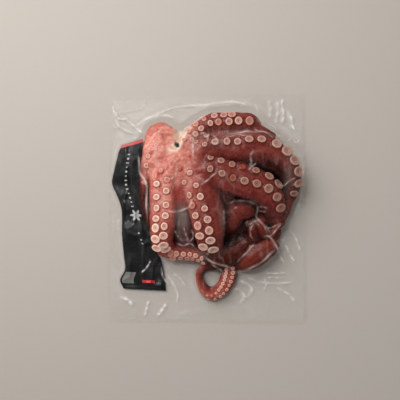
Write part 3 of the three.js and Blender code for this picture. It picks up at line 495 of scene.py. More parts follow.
# The studio: pale all round, brighter to the left and behind, and dim straight above.
WORLD_COLOUR = (1.0, 0.975, 0.955)
WORLD_SIDES = 0.72
WORLD_ABOVE = 0.05
WORLD_DIM_FROM, WORLD_DIM_TO = 0.62, 0.9  # sine of the elevation
WORLD_LEAN = (-0.32, 0.3)  # how much brighter towards +X and +Y
FLOOR_SIZE = 14.0
FLOOR_GAP = 0.2  # millimetres under the film, so that the two never share a plane

# ---- colours -------------------------------------------------------------------------------------

WET_SHEEN = 0.06  # the film clings to the wet flesh, so most of the gloss is the film's
# Tints that multiply a colour.
SPECKLE = (0.55, 0.42, 0.42)
MOTTLE = (0.66, 0.46, 0.44)
# The tint of the ring round each sucker is partly painted shade.
RED_AND_SHADE_RING_TINT = (0.62, 0.40, 0.38)  # skin close to a sucker
# The darkest tint is painted shade in the deepest gaps between the arms; on skin of depth over 1 it
# is partly the head's own near-black and partly painted shade on deep flanks and in the head's
# valleys.
DARKEST_AND_SHADE = (0.12, 0.045, 0.04)  # the deepest gaps between the arms
# The dusk tint is partly the suckers' own duller colour and partly painted shade on the eastern arms.
DUSK_AND_SHADE = (0.34, 0.265, 0.24)  # suckers on the deep-coloured arms
WORN_INK = (0.45, 0.45, 0.45)
SCUFF = (0.04, 0.04, 0.042)  # colour of the label's scuffs

# Spots of the skin: scale, detail and roughness of a noise, and the span of it that goes from 0 to 1.
SKIN_SPOTS = {
    "blotch": (55.0, 3.0, 0.6, 0.38, 0.66),
    "patch": (24.0, 2.0, 0.55, 0.36, 0.58),
    "mottle": (260.0, 3.0, 0.6, 0.42, 0.64),
    "speckle": (520.0, 2.0, 0.6, 0.42, 0.68),
    "flecks": (330.0, 1.0, 0.4, 0.6, 0.72),
}
# Fields of the skin: the mesh's attribute and the span of it that goes from 0 to 1, or to other ends.
SKIN_SPANS = {
    "deep": ("depth", 0.0, 1.0),
    "almost_black": ("depth", 1.0, 2.0),
    "shallow": ("depth", 0.0, 0.6, 0.17, 0.02),
    "veins": ("streak", -0.1, 0.6),
    "stripes": ("streak", 0.1, 0.8),
}
# Layers of the skin's colour in order: what shows them, how strong they are, and their colour: the
# name of a property, or a tint of the colour below.
PALE_LAYERS = ((("blotch", "patch"), 0.85, "blush"), (("veins",), 0.55, "blush"))
DARK_LAYERS = ((("blotch",), 0.6, "wine"), (("patch",), 0.4, "rust"), (("oral",), 0.3, "rust"),
               (("mantle",), 1.0, "mantle"), (("mantle", "patch"), 0.3, "ember"))
# Of these layers, the gaps' darkest tint is painted shade, the red ring round each sucker is partly
# painted shade, the almost-black layer is partly painted shade, and the mouth's pit is painted shade.
SKIN_LAYERS = (
    (("almost_black",), 1.0, DARKEST_AND_SHADE), (("web",), 1.0, "plum"), (("mottle",), 0.6, MOTTLE),
    (("stripes",), 0.5, MOTTLE), (("halo",), 0.85, RED_AND_SHADE_RING_TINT), (("speckle",), 0.3, SPECKLE),
    (("flecks", "shallow"), 1.0, "rim"), (("hollow",), 0.95, DARKEST_AND_SHADE), (("cream",), 1.0, "cream"),
    (("pit",), 1.0, "pit"),
)
# Radii of a cup, as shares of its own, between which its colours change.
CUP_RIM = (0.52, 0.8)
CUP_MIDDLE = (0.4, 0.3)
CUP_HOLE = (0.26, 0.16)

NOISE_CELLS = 32  # random values along each side of the noise's lattice


# ---- properties ----------------------------------------------------------------------------------

def colour_property(name, description, default):
    """A colour in the panel, in linear light."""
    return FloatVectorProperty(name=name, description=description, subtype="COLOR", size=3,
                               min=0.0, max=1.0, default=default)


class OctopusFleshSettings(bpy.types.PropertyGroup):
    """Sizes and colours of the octopus."""

    voxel: FloatProperty(name="Voxel", description="Fineness of the skin's mesh",
                         default=1.3 * MM, min=0.8 * MM, unit="LENGTH")
    smoothing: IntProperty(name="Smoothing", description="Passes that smooth the skin's mesh",
                           default=5)
    salmon: colour_property("Salmon", "Suckered side near the mouth", (0.70, 0.305, 0.245))
    brick: colour_property("Brick", "Flanks of the pale arms", (0.33, 0.048, 0.036))
    maroon: colour_property("Maroon", "Skin far from the mouth", (0.185, 0.031, 0.025))
    mantle: colour_property("Mantle", "Smooth skin of the head", (0.10, 0.016, 0.011))
    ember: colour_property("Ember", "Brighter patches of the head", (0.30, 0.045, 0.022))
    plum: colour_property("Plum", "Web between the arms", (0.14, 0.05, 0.05))
    cream: colour_property("Cream", "Rim of the mouth", (0.66, 0.52, 0.40))
    # The pit's colour is painted shade inside the mouth's hole.
    pit: colour_property("Pit", "Inside of the mouth", (0.02, 0.015, 0.01))
    rim: colour_property("Sucker rim", "Pale rims of the suckers", (0.90, 0.635, 0.535))
    cup: colour_property("Sucker cup", "Sunken ring inside the suckers' rims", (0.52, 0.27, 0.205))
    # The centre's colour is painted shade of the sucker's small hole.
    centre: colour_property("Sucker centre", "Small hole of the suckers", (0.33, 0.15, 0.115))
    blush: colour_property("Blush", "Blotches of the pale skin", (0.50, 0.10, 0.06))
    wine: colour_property("Wine", "Blotches of the deep skin", (0.095, 0.014, 0.012))
    rust: colour_property("Rust", "Suckered side of the deep arms", (0.20, 0.041, 0.029))


class VacuumFilmSettings(bpy.types.PropertyGroup):
    """Sizes and colours of the bag and the label."""

    clarity: colour_property("Clarity", "Light that the film lets through", (0.992, 0.992, 0.99))
    # Haze is partly the film's own whitening and partly painted highlights and reflections; the tinge
    # makes them pink over the octopus.
    haze: colour_property("Haze", "Whitish look of creased film", (0.82, 0.79, 0.77))
    sheen_tinge: colour_property("Tinge", "Tinge of the creases over the octopus", (1.0, 0.80, 0.75))
    roughness: FloatProperty(name="Roughness", description="Roughness of the film's gloss",
                             default=0.2, min=0.0, max=1.0, subtype="FACTOR")
    label: colour_property("Label", "Black printed film", (0.004, 0.0042, 0.005))
    red: colour_property("Red print", "Band and bar", (0.50, 0.012, 0.014))
    white: colour_property("White print", "Marks", (0.42, 0.42, 0.41))
    grey: colour_property("Grey print", "Bare inner side", (0.16, 0.155, 0.145))


class OctopusStageSettings(bpy.types.PropertyGroup):
    """Floor of the stage."""

    floor: colour_property("Floor", "Plain pale floor", (0.425, 0.391, 0.353))


# ---- curves, noise and meshes --------------------------------------------------------------------

def carried(rows, step):
    """Rows carried along a smooth curve through their first three columns.

    Every column is a cubic in the distance along the chords. Its slope at a row is the mean of the
    slopes on both sides, each weighted by the length of the other side. Returns the rows at equal
    steps and their distance from the start.
    """
    rows = np.asarray(rows, float)
    gaps = np.linalg.norm(np.diff(rows[:, :3], axis=0), axis=1)
    knots = np.concatenate([[0.0], np.cumsum(gaps)])
    slopes = np.diff(rows, axis=0) / gaps[:, None]
    share = (gaps[1:] / (gaps[1:] + gaps[:-1]))[:, None]
    tangents = np.vstack([slopes[:1], slopes[:-1] * share + slopes[1:] * (1 - share), slopes[-1:]])
    place = np.linspace(0.0, knots[-1], max(2, round(knots[-1] / step)) + 1)
    index = np.clip(np.searchsorted(knots, place, side="right") - 1, 0, len(gaps) - 1)
    gap = gaps[index][:, None]
    u = (place - knots[index])[:, None] / gap
    rise = u * u * (3 - 2 * u)
    values = (rows[index] * (1 - rise) + rows[index + 1] * rise
              + tangents[index] * gap * u * (1 - u) ** 2
              - tangents[index + 1] * gap * u * u * (1 - u))
    return values, place


def frames_along(points):
    """Direction, level side to the left of travel, and upper direction at each point of a route."""
    ahead = np.gradient(points[:, :3], axis=0)
    ahead /= np.linalg.norm(ahead, axis=1, keepdims=True)
    side = np.stack([-ahead[:, 1], ahead[:, 0], np.zeros(len(ahead))], axis=1)
    side /= np.linalg.norm(side, axis=1, keepdims=True)
    return ahead, side, np.cross(ahead, side)


def smooth_step(value):
    """0 below 0, 1 above 1, and the cubic 3v² - 2v³ in between."""
    value = np.clip(value, 0.0, 1.0)
    return value * value * (3 - 2 * value)


def noise(points, spacing, seed):
    """Smooth random field from -1 to 1: random values on a cubic lattice, blended by smooth steps.

    The points are an array of any shape whose last axis is x, y, z.
    """
    table = np.random.default_rng(seed).uniform(-1, 1, (NOISE_CELLS,) * 3)
    place = np.asarray(points, float) / spacing
    cell = np.floor(place).astype(int)
    share = smooth_step(place - cell)
    total = np.zeros(place.shape[:-1])
    for corner in product((0, 1), repeat=3):
        weight = np.prod(np.where(corner, share, 1 - share), axis=-1)
        i, j, k = np.moveaxis((cell + corner) % NOISE_CELLS, -1, 0)
        total += weight * table[i, j, k]
    return total


def layered(points, layers, way=lambda value: value):
    """Sum of noise layers given as (spacing, height, seed), each shaped by a function."""
    return sum(height * way(noise(points, spacing, seed)) for spacing, height, seed in layers)


def ridged(value):
    """Sharp ridges where a noise field passes through nothing: (1 - 1.25 |value|)^6, down to 0."""
    return (1 - np.minimum(np.abs(value) * 1.25, 1)) ** 6


def grid_faces(rows, columns, closed=False):
    """Quads of a grid of points laid out row by row; closed joins the last column to the first."""
    across = columns if closed else columns - 1
    i, j = np.meshgrid(np.arange(rows - 1), np.arange(across), indexing="ij")
    a, b = i * columns + j, i * columns + (j + 1) % columns
    return np.stack([a, b, b + columns, a + columns], axis=-1).reshape(-1, 4)


def grid_rim(rows, columns):
    """The numbers of such a grid's outer points, in order round it."""
    index = np.arange(rows * columns).reshape(rows, columns)
    return np.concatenate([index[0, :-1], index[:-1, -1], index[-1, :0:-1], index[:0:-1, 0]])


def new_mesh(name, points, *face_groups):
    """A mesh in metres from points in millimetres and arrays of faces with the same corner count."""
    mesh = bpy.data.meshes.new(name)
    corners = np.concatenate([np.ravel(group) for group in face_groups]).astype(np.int32)
    counts = np.concatenate([np.full(len(group), np.shape(group)[1]) for group in face_groups])
    starts = np.concatenate([[0], np.cumsum(counts)[:-1]]).astype(np.int32)
    mesh.vertices.add(len(points))
    mesh.vertices.foreach_set("co", (np.asarray(points) * MM).astype(np.float32).ravel())
    mesh.loops.add(len(corners))
    mesh.loops.foreach_set("vertex_index", corners)
    mesh.polygons.add(len(starts))
    mesh.polygons.foreach_set("loop_start", starts)
    mesh.polygons.foreach_set("use_smooth", np.ones(len(starts), bool))
    mesh.update(calc_edges=True)
    mesh.validate()
    return mesh


def show(mesh, material, body):
    """Puts a mesh in the scene with its material, and ties it to its body and material slot."""
    piece = bpy.data.objects.new(mesh.name, mesh)
    bpy.context.scene.collection.objects.link(piece)
    mesh.materials.append(material)
    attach(piece, body)
    return piece


def paint(mesh, **fields):
    """Stores one number for each vertex under each name."""
    for name, values in fields.items():
        layer = mesh.attributes.new(name, "FLOAT", "POINT")
        layer.data.foreach_set("value", np.asarray(values, np.float32))


def vertex_array(mesh, what="co"):
    """The mesh's vertex places, in millimetres, or its normals."""
    values = np.empty(len(mesh.vertices) * 3, np.float32)
    if what == "co":
        mesh.vertices.foreach_get("co", values)
        return values.reshape(-1, 3) / MM
    mesh.vertex_normals.foreach_get("vector", values)
    return values.reshape(-1, 3).astype(float)


# ---- materials -----------------------------------------------------------------------------------

class Shader:
    """A material's nodes, wired by short calls. A socket is given by name or number."""

    def __init__(self, name):
        self.material = bpy.data.materials.new(name)
        self.material.use_nodes = True
        self.tree = self.material.node_tree
        self.tree.nodes.clear()

    @classmethod
    def of(cls, tree):
        """The same short calls on a node tree that is already there."""
        shader = cls.__new__(cls)
        shader.tree = tree
        return shader

    def node(self, kind, inputs=None, **settings):
        made = self.tree.nodes.new("ShaderNode" + kind)
        for key, value in settings.items():
            setattr(made, key, value)
        for key, value in (inputs or {}).items():
            if isinstance(value, bpy.types.NodeSocket):
                self.tree.links.new(value, made.inputs[key])
            elif isinstance(value, bpy.types.Node):
                self.tree.links.new(value.outputs[0], made.inputs[key])
            else:
                socket = made.inputs[key]
                socket.default_value = (*value, 1.0) if socket.type == "RGBA" else value
        return made

    def field(self, name):
        return self.node("Attribute", attribute_name=name).outputs["Fac"]

    def place(self):
        return self.node("TexCoord").outputs["Object"]

    def math(self, operation, a, b):
        return self.node("Math", {0: a, 1: b}, operation=operation).outputs[0]

    def times(self, a, b):
        return self.math("MULTIPLY", a, b)

    def span(self, value, low, high, to_low=0.0, to_high=1.0):
        """Takes a value's range to another range, held at its ends."""
        return self.node("MapRange", {0: value, 1: low, 2: high, 3: to_low, 4: to_high}).outputs[0]

    def mix(self, factor, a, b, blend="MIX"):
        made = self.node("Mix", {0: factor, 6: a, 7: b}, data_type="RGBA", blend_type=blend)
        return made.outputs[2]

    def tinted(self, factor, colour, tint):
        """A colour multiplied by a tint, as far as the factor says."""
        return self.mix(factor, colour, self.mix(1.0, colour, tint, "MULTIPLY"))

    def layered(self, colour, layers, masks, settings):
        """A colour under layers, each given as (names of masks, strength, property or tint)."""
        for names, factor, layer in layers:
            for name in names:
                factor = self.times(factor, masks[name])
            if isinstance(layer, str):
                colour = self.mix(factor, colour, getattr(settings, layer))
            else:
                colour = self.tinted(factor, colour, layer)
        return colour

    def noise(self, scale, detail=2.0, rough=0.5):
        made = self.node("TexNoise", {"Vector": self.place(), "Scale": scale, "Detail": detail,
                                      "Roughness": rough})
        return made.outputs["Fac"]

    def spots(self, scale, detail, rough, low, high):
        """Noise, with a span of its values taken from 0 to 1."""
        return self.span(self.noise(scale, detail, rough), low, high)

    def bump(self, height, strength, distance):
        inputs = {"Height": height, "Strength": strength, "Distance": distance}
        return self.node("Bump", inputs).outputs[0]

    def finish(self, surface):
        self.node("OutputMaterial", {"Surface": surface})
        return self.material


def flesh_material(settings):
    """Moist skin: salmon and brick to maroon by depth, plum web, cream mouth, mottled and pebbled."""
    s = Shader("octopus_flesh")
    fields = ("oral", "web", "mantle", "halo", "hollow", "cream", "pit")
    masks = {name: s.field(name) for name in fields}
    masks.update({name: s.spots(*spots) for name, spots in SKIN_SPOTS.items()})
    masks.update({name: s.span(s.field(field), *span) for name, (field, *span) in SKIN_SPANS.items()})
    pale = s.mix(masks["oral"], settings.brick, settings.salmon)
    pale = s.layered(pale, PALE_LAYERS, masks, settings)
    dark = s.layered(settings.maroon, DARK_LAYERS, masks, settings)
    skin = s.layered(s.mix(masks["deep"], pale, dark), SKIN_LAYERS, masks, settings)
    grain = s.math("ADD", s.times(s.noise(scale=900.0, detail=3.0), 0.5), s.noise(scale=260.0))
    return s.finish(s.node("BsdfPrincipled", {
        "Base Color": skin, "IOR": 1.38, "Specular IOR Level": WET_SHEEN,
        "Roughness": s.span(s.noise(scale=140.0), low=0.3, high=0.7, to_low=0.3, to_high=0.48),
        "Subsurface Weight": 0.06, "Subsurface Radius": (1.0, 0.35, 0.22), "Subsurface Scale": 0.003,
        "Normal": s.bump(grain, strength=0.6, distance=0.0009)}))


def sucker_material(settings):
    """Cream-pink cups with a faint browner ring and middle, a small hole darkened with painted shade,
    and a flank as red as the skin.
    """
    s = Shader("sucker_flesh")
    across, broad, dusk = (s.field(name) for name in ("across", "broad", "dusk"))
    blotch = s.spots(scale=150.0, detail=2.0, rough=0.5, low=0.35, high=0.65)
    rim = s.mix(s.times(blotch, 0.3), settings.rim, settings.salmon)
    ring = s.mix(s.times(broad, 0.3), settings.cup, rim)
    cup = s.mix(s.span(across, *CUP_RIM), ring, rim)
    cup = s.mix(s.span(across, *CUP_MIDDLE), cup, s.mix(0.35, ring, rim))
    # Painted shade of the small hole in each cup's middle.
    hole = s.times(s.span(across, *CUP_HOLE), s.span(broad, 0.0, 1.0, to_low=1.0, to_high=0.5))
    cup = s.mix(hole, cup, settings.centre)
    flesh = s.mix(s.field("flank"), cup, s.mix(dusk, settings.brick, settings.wine))
    flesh = s.mix(s.field("blush"), flesh, settings.blush)
    return s.finish(s.node("BsdfPrincipled", {
        "Base Color": s.tinted(dusk, flesh, DUSK_AND_SHADE), "IOR": 1.38, "Specular IOR Level": WET_SHEEN,
        "Roughness": s.span(blotch, 0.0, 1.0, to_low=0.38, to_high=0.5),
        "Subsurface Weight": 0.12, "Subsurface Radius": (1.0, 0.5, 0.35), "Subsurface Scale": 0.002,
        "Normal": s.bump(s.noise(scale=700.0), strength=0.2, distance=0.0004)}))


def film_material(settings):
    """Clear film: light goes straight through, gloss grows at grazing angles, creases are whitish
    with haze and painted highlights.

    The share of mirrored light is the straight-on share, and up to the grazing share by the fifth
    power of how edge-on the film is seen. The bag's under side mirrors nothing.
    """
    s = Shader("clear_film")
    ripple = s.bump(s.noise(scale=330.0), strength=0.09, distance=0.0006)
    clear = s.node("BsdfTransparent", {"Color": settings.clarity})
    gloss = s.node("BsdfAnisotropic", {"Color": (1.0, 1.0, 1.0), "Roughness": settings.roughness,
                                       "Normal": ripple}, distribution="GGX")
    # The whitish layer is partly the film's haze and partly painted highlights and reflections,
    # pinker over the octopus.
    pink = s.mix(1.0, settings.haze, settings.sheen_tinge, "MULTIPLY")
    whitish = s.mix(s.field("warm"), settings.haze, pink)
    white = s.node("BsdfDiffuse", {"Color": whitish, "Normal": ripple})
    edge_on = s.node("LayerWeight", {"Blend": 0.5, "Normal": ripple}).outputs["Facing"]
    mirror = s.span(s.math("POWER", edge_on, 5.0), 0.0, 1.0, to_low=FILM_GLOSS, to_high=FILM_GRAZE)
    mirror = s.times(mirror, s.math("SUBTRACT", 1.0, s.field("under")))
    sheet = s.node("MixShader", {0: mirror, 1: clear.outputs[0], 2: gloss.outputs[0]})
    cloudy_and_sheen = s.node("MixShader", {0: s.field("haze"), 1: sheet.outputs[0], 2: white.outputs[0]})
    return s.finish(cloudy_and_sheen.outputs[0])


def label_material(settings):
    """Black printed film, satin, with fine creases and a dusting of pale scuffs."""
    s = Shader("label_film")
    scuff = s.spots(scale=210.0, detail=4.0, rough=0.65, low=0.55, high=0.78)
    crease = s.noise(scale=160.0, detail=3.0, rough=0.6)
    return s.finish(s.node("BsdfPrincipled", {
        "Base Color": s.mix(s.times(scuff, 0.25), settings.label, SCUFF), "IOR": 1.4,
        "Roughness": s.span(scuff, 0.0, 1.0, to_low=0.42, to_high=0.55), "Specular IOR Level": 0.2,
        "Normal": s.bump(crease, strength=0.5, distance=0.0009)}))


def print_material(name, ink):
    """Printed ink with a slightly worn look to its colour."""
    s = Shader(name)
    worn = s.spots(scale=600.0, detail=3.0, rough=0.5, low=0.4, high=0.75)
    return s.finish(s.node("BsdfPrincipled", {
        "Base Color": s.tinted(s.times(worn, 0.3), ink, WORN_INK), "Roughness": 0.42, "IOR": 1.46,
        "Normal": s.bump(worn, strength=0.2, distance=0.0003)}))


def floor_material(settings):
    """Plain matte floor with a faint pebbled grain."""
    s = Shader("floor")
    return s.finish(s.node("BsdfPrincipled", {
        "Base Color": settings.floor, "Roughness": 0.8,
        "Normal": s.bump(s.noise(scale=420.0), strength=0.15, distance=0.001)}))


# ---- the flesh -----------------------------------------------------------------------------------

def roll_of(points):
    """A route's roll in radians, which is nothing where the route has no such column."""
    return np.radians(points[:, ROLL]) if points.shape[1] > ROLL else np.zeros(len(points))


def tube(route):
    """An arm: an oval section carried along its route, with rounded ends.

    At an angle from straight up the section is side * w * sin + up * h * cos, with sine and cosine
    raised to a power under 1 so that it is a little square, less a groove between the sucker rows.
    Past each end the section shrinks as a half ellipse. Heights are held under the film softly.
    """
    points, _ = carried(route, TUBE_STEP)
    ahead, side, up = frames_along(points)
    width, height = points[:, WIDTH], points[:, HEIGHT]
    reach = CAP_REACH * min(width[0], height[0], width[-1], height[-1])
    bend = np.linspace(0, 1, TUBE_CAP_RINGS + 1)[1:] * CAP_TURN
    order = np.concatenate([np.zeros(TUBE_CAP_RINGS, int), np.arange(len(points)),
                            np.full(TUBE_CAP_RINGS, len(points) - 1)])
    past = np.concatenate([-np.sin(bend)[::-1], np.zeros(len(points)), np.sin(bend)]) * reach
    shrink = np.concatenate([np.cos(bend)[::-1], np.ones(len(points)), np.cos(bend)])
    angle = -np.arange(TUBE_SIDES) / TUBE_SIDES * 2 * math.pi
    across = np.sign(np.sin(angle)) * np.abs(np.sin(angle)) ** OVAL_POWER
    upward = np.sign(np.cos(angle)) * np.abs(np.cos(angle)) ** OVAL_POWER
    roll = roll_of(points)[order][:, None]
    groove = GROOVE * (points.shape[1] > ROLL)
    off = np.degrees((angle[None] - roll + math.pi) % (2 * math.pi) - math.pi)
    dent = 1 - groove * np.exp(-((off / GROOVE_WIDTH) ** 2))
    size = (shrink[:, None] * dent)[..., None]
    middle = points[order, :3] + ahead[order] * past[:, None]
    rings = (middle[:, None] + side[order, None] * (width[order, None] * across)[..., None] * size
             + up[order, None] * (height[order, None] * upward)[..., None] * size)
    rows = len(order)
    caps = [np.arange(TUBE_SIDES)[None, ::-1], np.arange(TUBE_SIDES)[None] + (rows - 1) * TUBE_SIDES]
    return rings.reshape(-1, 3), grid_faces(rows, TUBE_SIDES, closed=True), np.concatenate(caps)


def turned_axes(turn):
    """The three directions turned about Z, in degrees, one a row."""
    c, s = math.cos(math.radians(turn)), math.sin(math.radians(turn))
    return np.array([[c, s, 0], [-s, c, 0], [0, 0, 1]])


def ellipsoid(x, y, z, rx, ry, rz, turn):
    """Middle plus half sizes times (sin a cos b, sin a sin b, cos a), turned about Z."""
    a = np.linspace(LOBE_POLE, math.pi - LOBE_POLE, LOBE_RINGS)[:, None]
    b = np.arange(LOBE_SIDES) / LOBE_SIDES * 2 * math.pi
    flat = np.stack([rx * np.sin(a) * np.cos(b), ry * np.sin(a) * np.sin(b),
                     rz * np.cos(a) + 0 * b], axis=-1)
    points = flat.reshape(-1, 3) @ turned_axes(turn) + (x, y, z)
    ring = np.arange(LOBE_SIDES)[None]
    caps = [ring, ring[:, ::-1] + (LOBE_RINGS - 1) * LOBE_SIDES]
    return points, grid_faces(LOBE_RINGS, LOBE_SIDES, closed=True)[:, ::-1], np.concatenate(caps)


def pressed(points):
    """Holds heights softly under the film: z - s * ln(1 + exp((z - top) / s))."""
    z = points[:, 2]
    z -= FLESH_SOFTNESS * np.log1p(np.exp((z - FLESH_TOP) / FLESH_SOFTNESS))
    points[:, 2] = np.maximum(z, FLESH_FLOOR)
    return points


def joined(name, shapes):
    """One mesh from shapes given as (points, grid quads, end caps)."""
    points, quads, caps, base = [], [], [], 0
    for shape_points, shape_quads, shape_caps in shapes:
        points.append(shape_points)
        quads.append(shape_quads + base)
        caps.append(shape_caps + base)
        base += len(shape_points)
    sizes = sorted({group.shape[1] for group in caps})
    groups = [np.concatenate([g for g in caps if g.shape[1] == size]) for size in sizes]
    return new_mesh(name, pressed(np.concatenate(points)), np.concatenate(quads), *groups)


def merged_skin(mesh, voxel, smoothing):
    """The shapes merged into one closed skin: remeshed by voxels, then smoothed."""
    piece = bpy.data.objects.new("merging", mesh)
    bpy.context.scene.collection.objects.link(piece)
    remesh = piece.modifiers.new("merge", "REMESH")
    remesh.mode = "VOXEL"
    remesh.voxel_size = voxel
    smooth = piece.modifiers.new("smooth", "SMOOTH")
    smooth.iterations = smoothing
    skin = bpy.data.meshes.new_from_object(piece.evaluated_get(bpy.context.evaluated_depsgraph_get()))
    bpy.data.objects.remove(piece)
    bpy.data.meshes.remove(mesh)
    skin.name = "octopus_flesh"
    return skin


class Sample(NamedTuple):
    """A shape as a row of places, for finding which shape a point of the skin belongs to."""

    places: np.ndarray
    axes: tuple  # directions ahead, to the side and up
    sizes: np.ndarray  # half sizes along those three
    roll: np.ndarray
    depth: np.ndarray  # of colour
    suckered: bool


def shape_samples():
    """Every arm, fold and lobe by its name."""
    samples = {}
    for name, shape in {**ARMS, **FOLDS}.items():
        points, distance = carried(shape["route"], SAMPLE_STEP)
        first, last = shape["depth"]
        depth = first + (last - first) * smooth_step(distance / distance[-1])
        width, height = points[:, WIDTH], points[:, HEIGHT]
        sizes = np.stack([0.5 * (width + height), width, height], axis=1)
        samples[name] = Sample(points[:, :3], frames_along(points), sizes, roll_of(points), depth,
                               name in ARMS and name != "under_ring")
    for name, ((x, y, z, rx, ry, rz, turn), depth) in LOBES.items():
        axes = tuple(turned_axes(turn)[:, None])
        samples[name] = Sample(np.array([[x, y, z]], float), axes, np.array([[rx, ry, rz]], float),
                               np.zeros(1), np.array([depth]), name == "crown")
    return samples


def nearest_on(points, sample):
    """How far each point is from a shape, as a share of its half sizes, and where on the shape that
    is: the index of the place, the angle round the arm from straight up and how far ahead."""
    parts = [(points @ axis.T - np.sum(sample.places * axis, axis=1)) / size
             for axis, size in zip(sample.axes, sample.sizes.T)]
    away = np.sqrt(sum(part * part for part in parts))
    index = np.argmin(away, axis=1)
    row = np.arange(len(points))
    angle = np.arctan2(parts[1][row, index], parts[2][row, index])
    return away[row, index], index, angle, parts[0][row, index] * sample.sizes[index, 0]


def skin_fields(points):
    """Numbers that colour the skin, blended between the shapes that each point is close to.

    A shape's weight is exp(-sharpness * (its distance - the least distance)). Streaks are noise that
    is stretched along the shape.
    """
    samples = shape_samples()
    found = {name: nearest_on(points, sample) for name, sample in samples.items()}
    least = np.min([near[0] for near in found.values()], axis=0)
    total = np.zeros(len(points))
    fields = {name: np.zeros(len(points)) for name in ("depth", "oral", "web", "mantle", "streak")}
    for turn, (name, sample) in enumerate(samples.items()):
        away, index, angle, ahead = found[name]
        off = np.degrees(np.abs((angle - sample.roll[index] + math.pi) % (2 * math.pi) - math.pi))
        # flank: deeper colour on an arm's flanks, partly the skin's own and partly painted shade.
        flank = smooth_step((off - FLANK_FROM) / (FLANK_TO - FLANK_FROM)) * sample.suckered
        deep = sample.depth[index]
        flank_share = FLANK_PALE + (1 - FLANK_PALE) * smooth_step(deep * 2)
        stretched = np.stack([angle * sample.sizes[index, 1] / STREAK_WIDE,
                              (index * SAMPLE_STEP + ahead) / STREAK_LONG,
                              np.full(len(points), turn * STREAK_APART)], axis=1)
        values = {
            "depth": deep + FLANK_DEEP * flank * flank_share,
            "oral": (1 - smooth_step((off - ORAL_FULL) / (ORAL_NONE - ORAL_FULL))) * sample.suckered,
            "web": name in WEB_LOBES,
            "mantle": name.startswith(MANTLE_NAMES),
            "streak": noise(stretched, 1.0, STREAK_SEED),
        }
        weight = np.exp(-BELONG_SHARPNESS * (away - least))
        total += weight
        for field, value in values.items():
            fields[field] += weight * value
    fields = {name: value / total for name, value in fields.items()}
    fields["depth"] = deeper_and_shaded_east(points, fields["depth"])
    fields["oral"] = np.maximum(fields["oral"], near_crown(points))
    return fields


def near_crown(points):
    """1 inside the crown's ellipse, down to 0 where its fade ends."""
    away = np.hypot(*((points[:, :2] - CROWN_PLACE) / CROWN_SIZE).T)
    return 1 - smooth_step((away - 1.0) / CROWN_FADE)


def deeper_and_shaded_east(points, depth):
    """The depth held above a smooth step from west to east, but not on the looped tip: partly the
    skin's own deeper colour and partly painted shade where the light falls off to the east.
    """
    east = smooth_step((points[:, 0] - EAST_FROM) / (EAST_TO - EAST_FROM))
    north = smooth_step((points[:, 1] - TIP_FROM) / (TIP_TO - TIP_FROM))
    return np.maximum(depth, EAST_DEPTH * east * north)


def mouth_shape(points, normals):
    """The mouth: a pit exp(-(r / radius)^4) deep, inside a rim exp(-((r - r0) / width)^2) high.

    Moves the points, and returns how cream each of them is and how dark, the dark being painted shade
    inside the hole.
    """
    over = normals[:, 2] > MOUTH_FACING
    dx, dy = points[:, 0] - MOUTH[0], points[:, 1] - MOUTH[1]
    turn = math.radians(MOUTH_TURN)
    a, b = dx * math.cos(turn) - dy * math.sin(turn), dx * math.sin(turn) + dy * math.cos(turn)
    pit = np.exp(-(np.hypot(a / MOUTH_RADIUS[0], b / MOUTH_RADIUS[1]) ** 4)) * over
    reach = np.hypot(dx, dy)
    rim_reach, rim_width, rim_height = MOUTH_RIM
    rim = np.exp(-(((reach - rim_reach) / rim_width) ** 2)) * over
    rim *= 0.5 - 0.5 * np.cos(np.arctan2(dy, dx) - MOUTH_OPEN)
    points[:, 2] += rim_height * rim - MOUTH_DEPTH * pit
    from_notch = np.hypot(points[:, 0] - NOTCH[0], (points[:, 1] - NOTCH[1]) * NOTCH_SQUEEZE)
    notch = NOTCH_CREAM * np.exp(-(from_notch / NOTCH_RADIUS) ** 2)
    ragged = layered(points, LIP_RAGGED)
    from_lip, _ = distance_to(MOUTH_LIP, points[:, 0], points[:, 1])
    lip = np.exp(-((from_lip + LIP_RAGGED_SHARE * ragged) / LIP_WIDTH) ** 2)
    ring = 1 - smooth_step((reach + ragged - MOUTH_CREAM) / MOUTH_CREAM_FADE)
    cream = np.maximum(ring, np.maximum(lip, notch)) * over
    return {"cream": cream, "pit": smooth_step(pit * MOUTH_DARK)}


def near_suckers(points):
    """Redness round the suckers, partly painted shade where each meets the skin: exp(-((d / r - a) /
    b)^2) of the distance over the radius.
    """
    place, _, _, radius, *_ = sucker_rows()
    away = np.full(len(points), RED_AND_SHADE_RING_FAR)
    for middle, size in zip(place, radius):
        away = np.minimum(away, np.linalg.norm(points - middle, axis=1) / size)
    return np.exp(-(((away - RED_AND_SHADE_RING[0]) / RED_AND_SHADE_RING[1]) ** 2))


def shade_in_gaps(points):
    """Painted shade in the gaps between arms: how deep each point lies in them, from 0 on top to 1 at
    the bottom.
    """
    low = points.min(axis=0)
    cells = ((points - low) / HOLLOW_STEP).astype(int)
    field = np.zeros((cells[:, 1].max() + 1, cells[:, 0].max() + 1))
    np.maximum.at(field, (cells[:, 1], cells[:, 0]), points[:, 2])
    bridge = blurred(rolled_over(field, HOLLOW_STEP, HOLLOW_ROLL), 2)
    gap = bridge[cells[:, 1], cells[:, 0]] - points[:, 2]
    return smooth_step((gap - HOLLOW_FROM) / (HOLLOW_TO - HOLLOW_FROM))


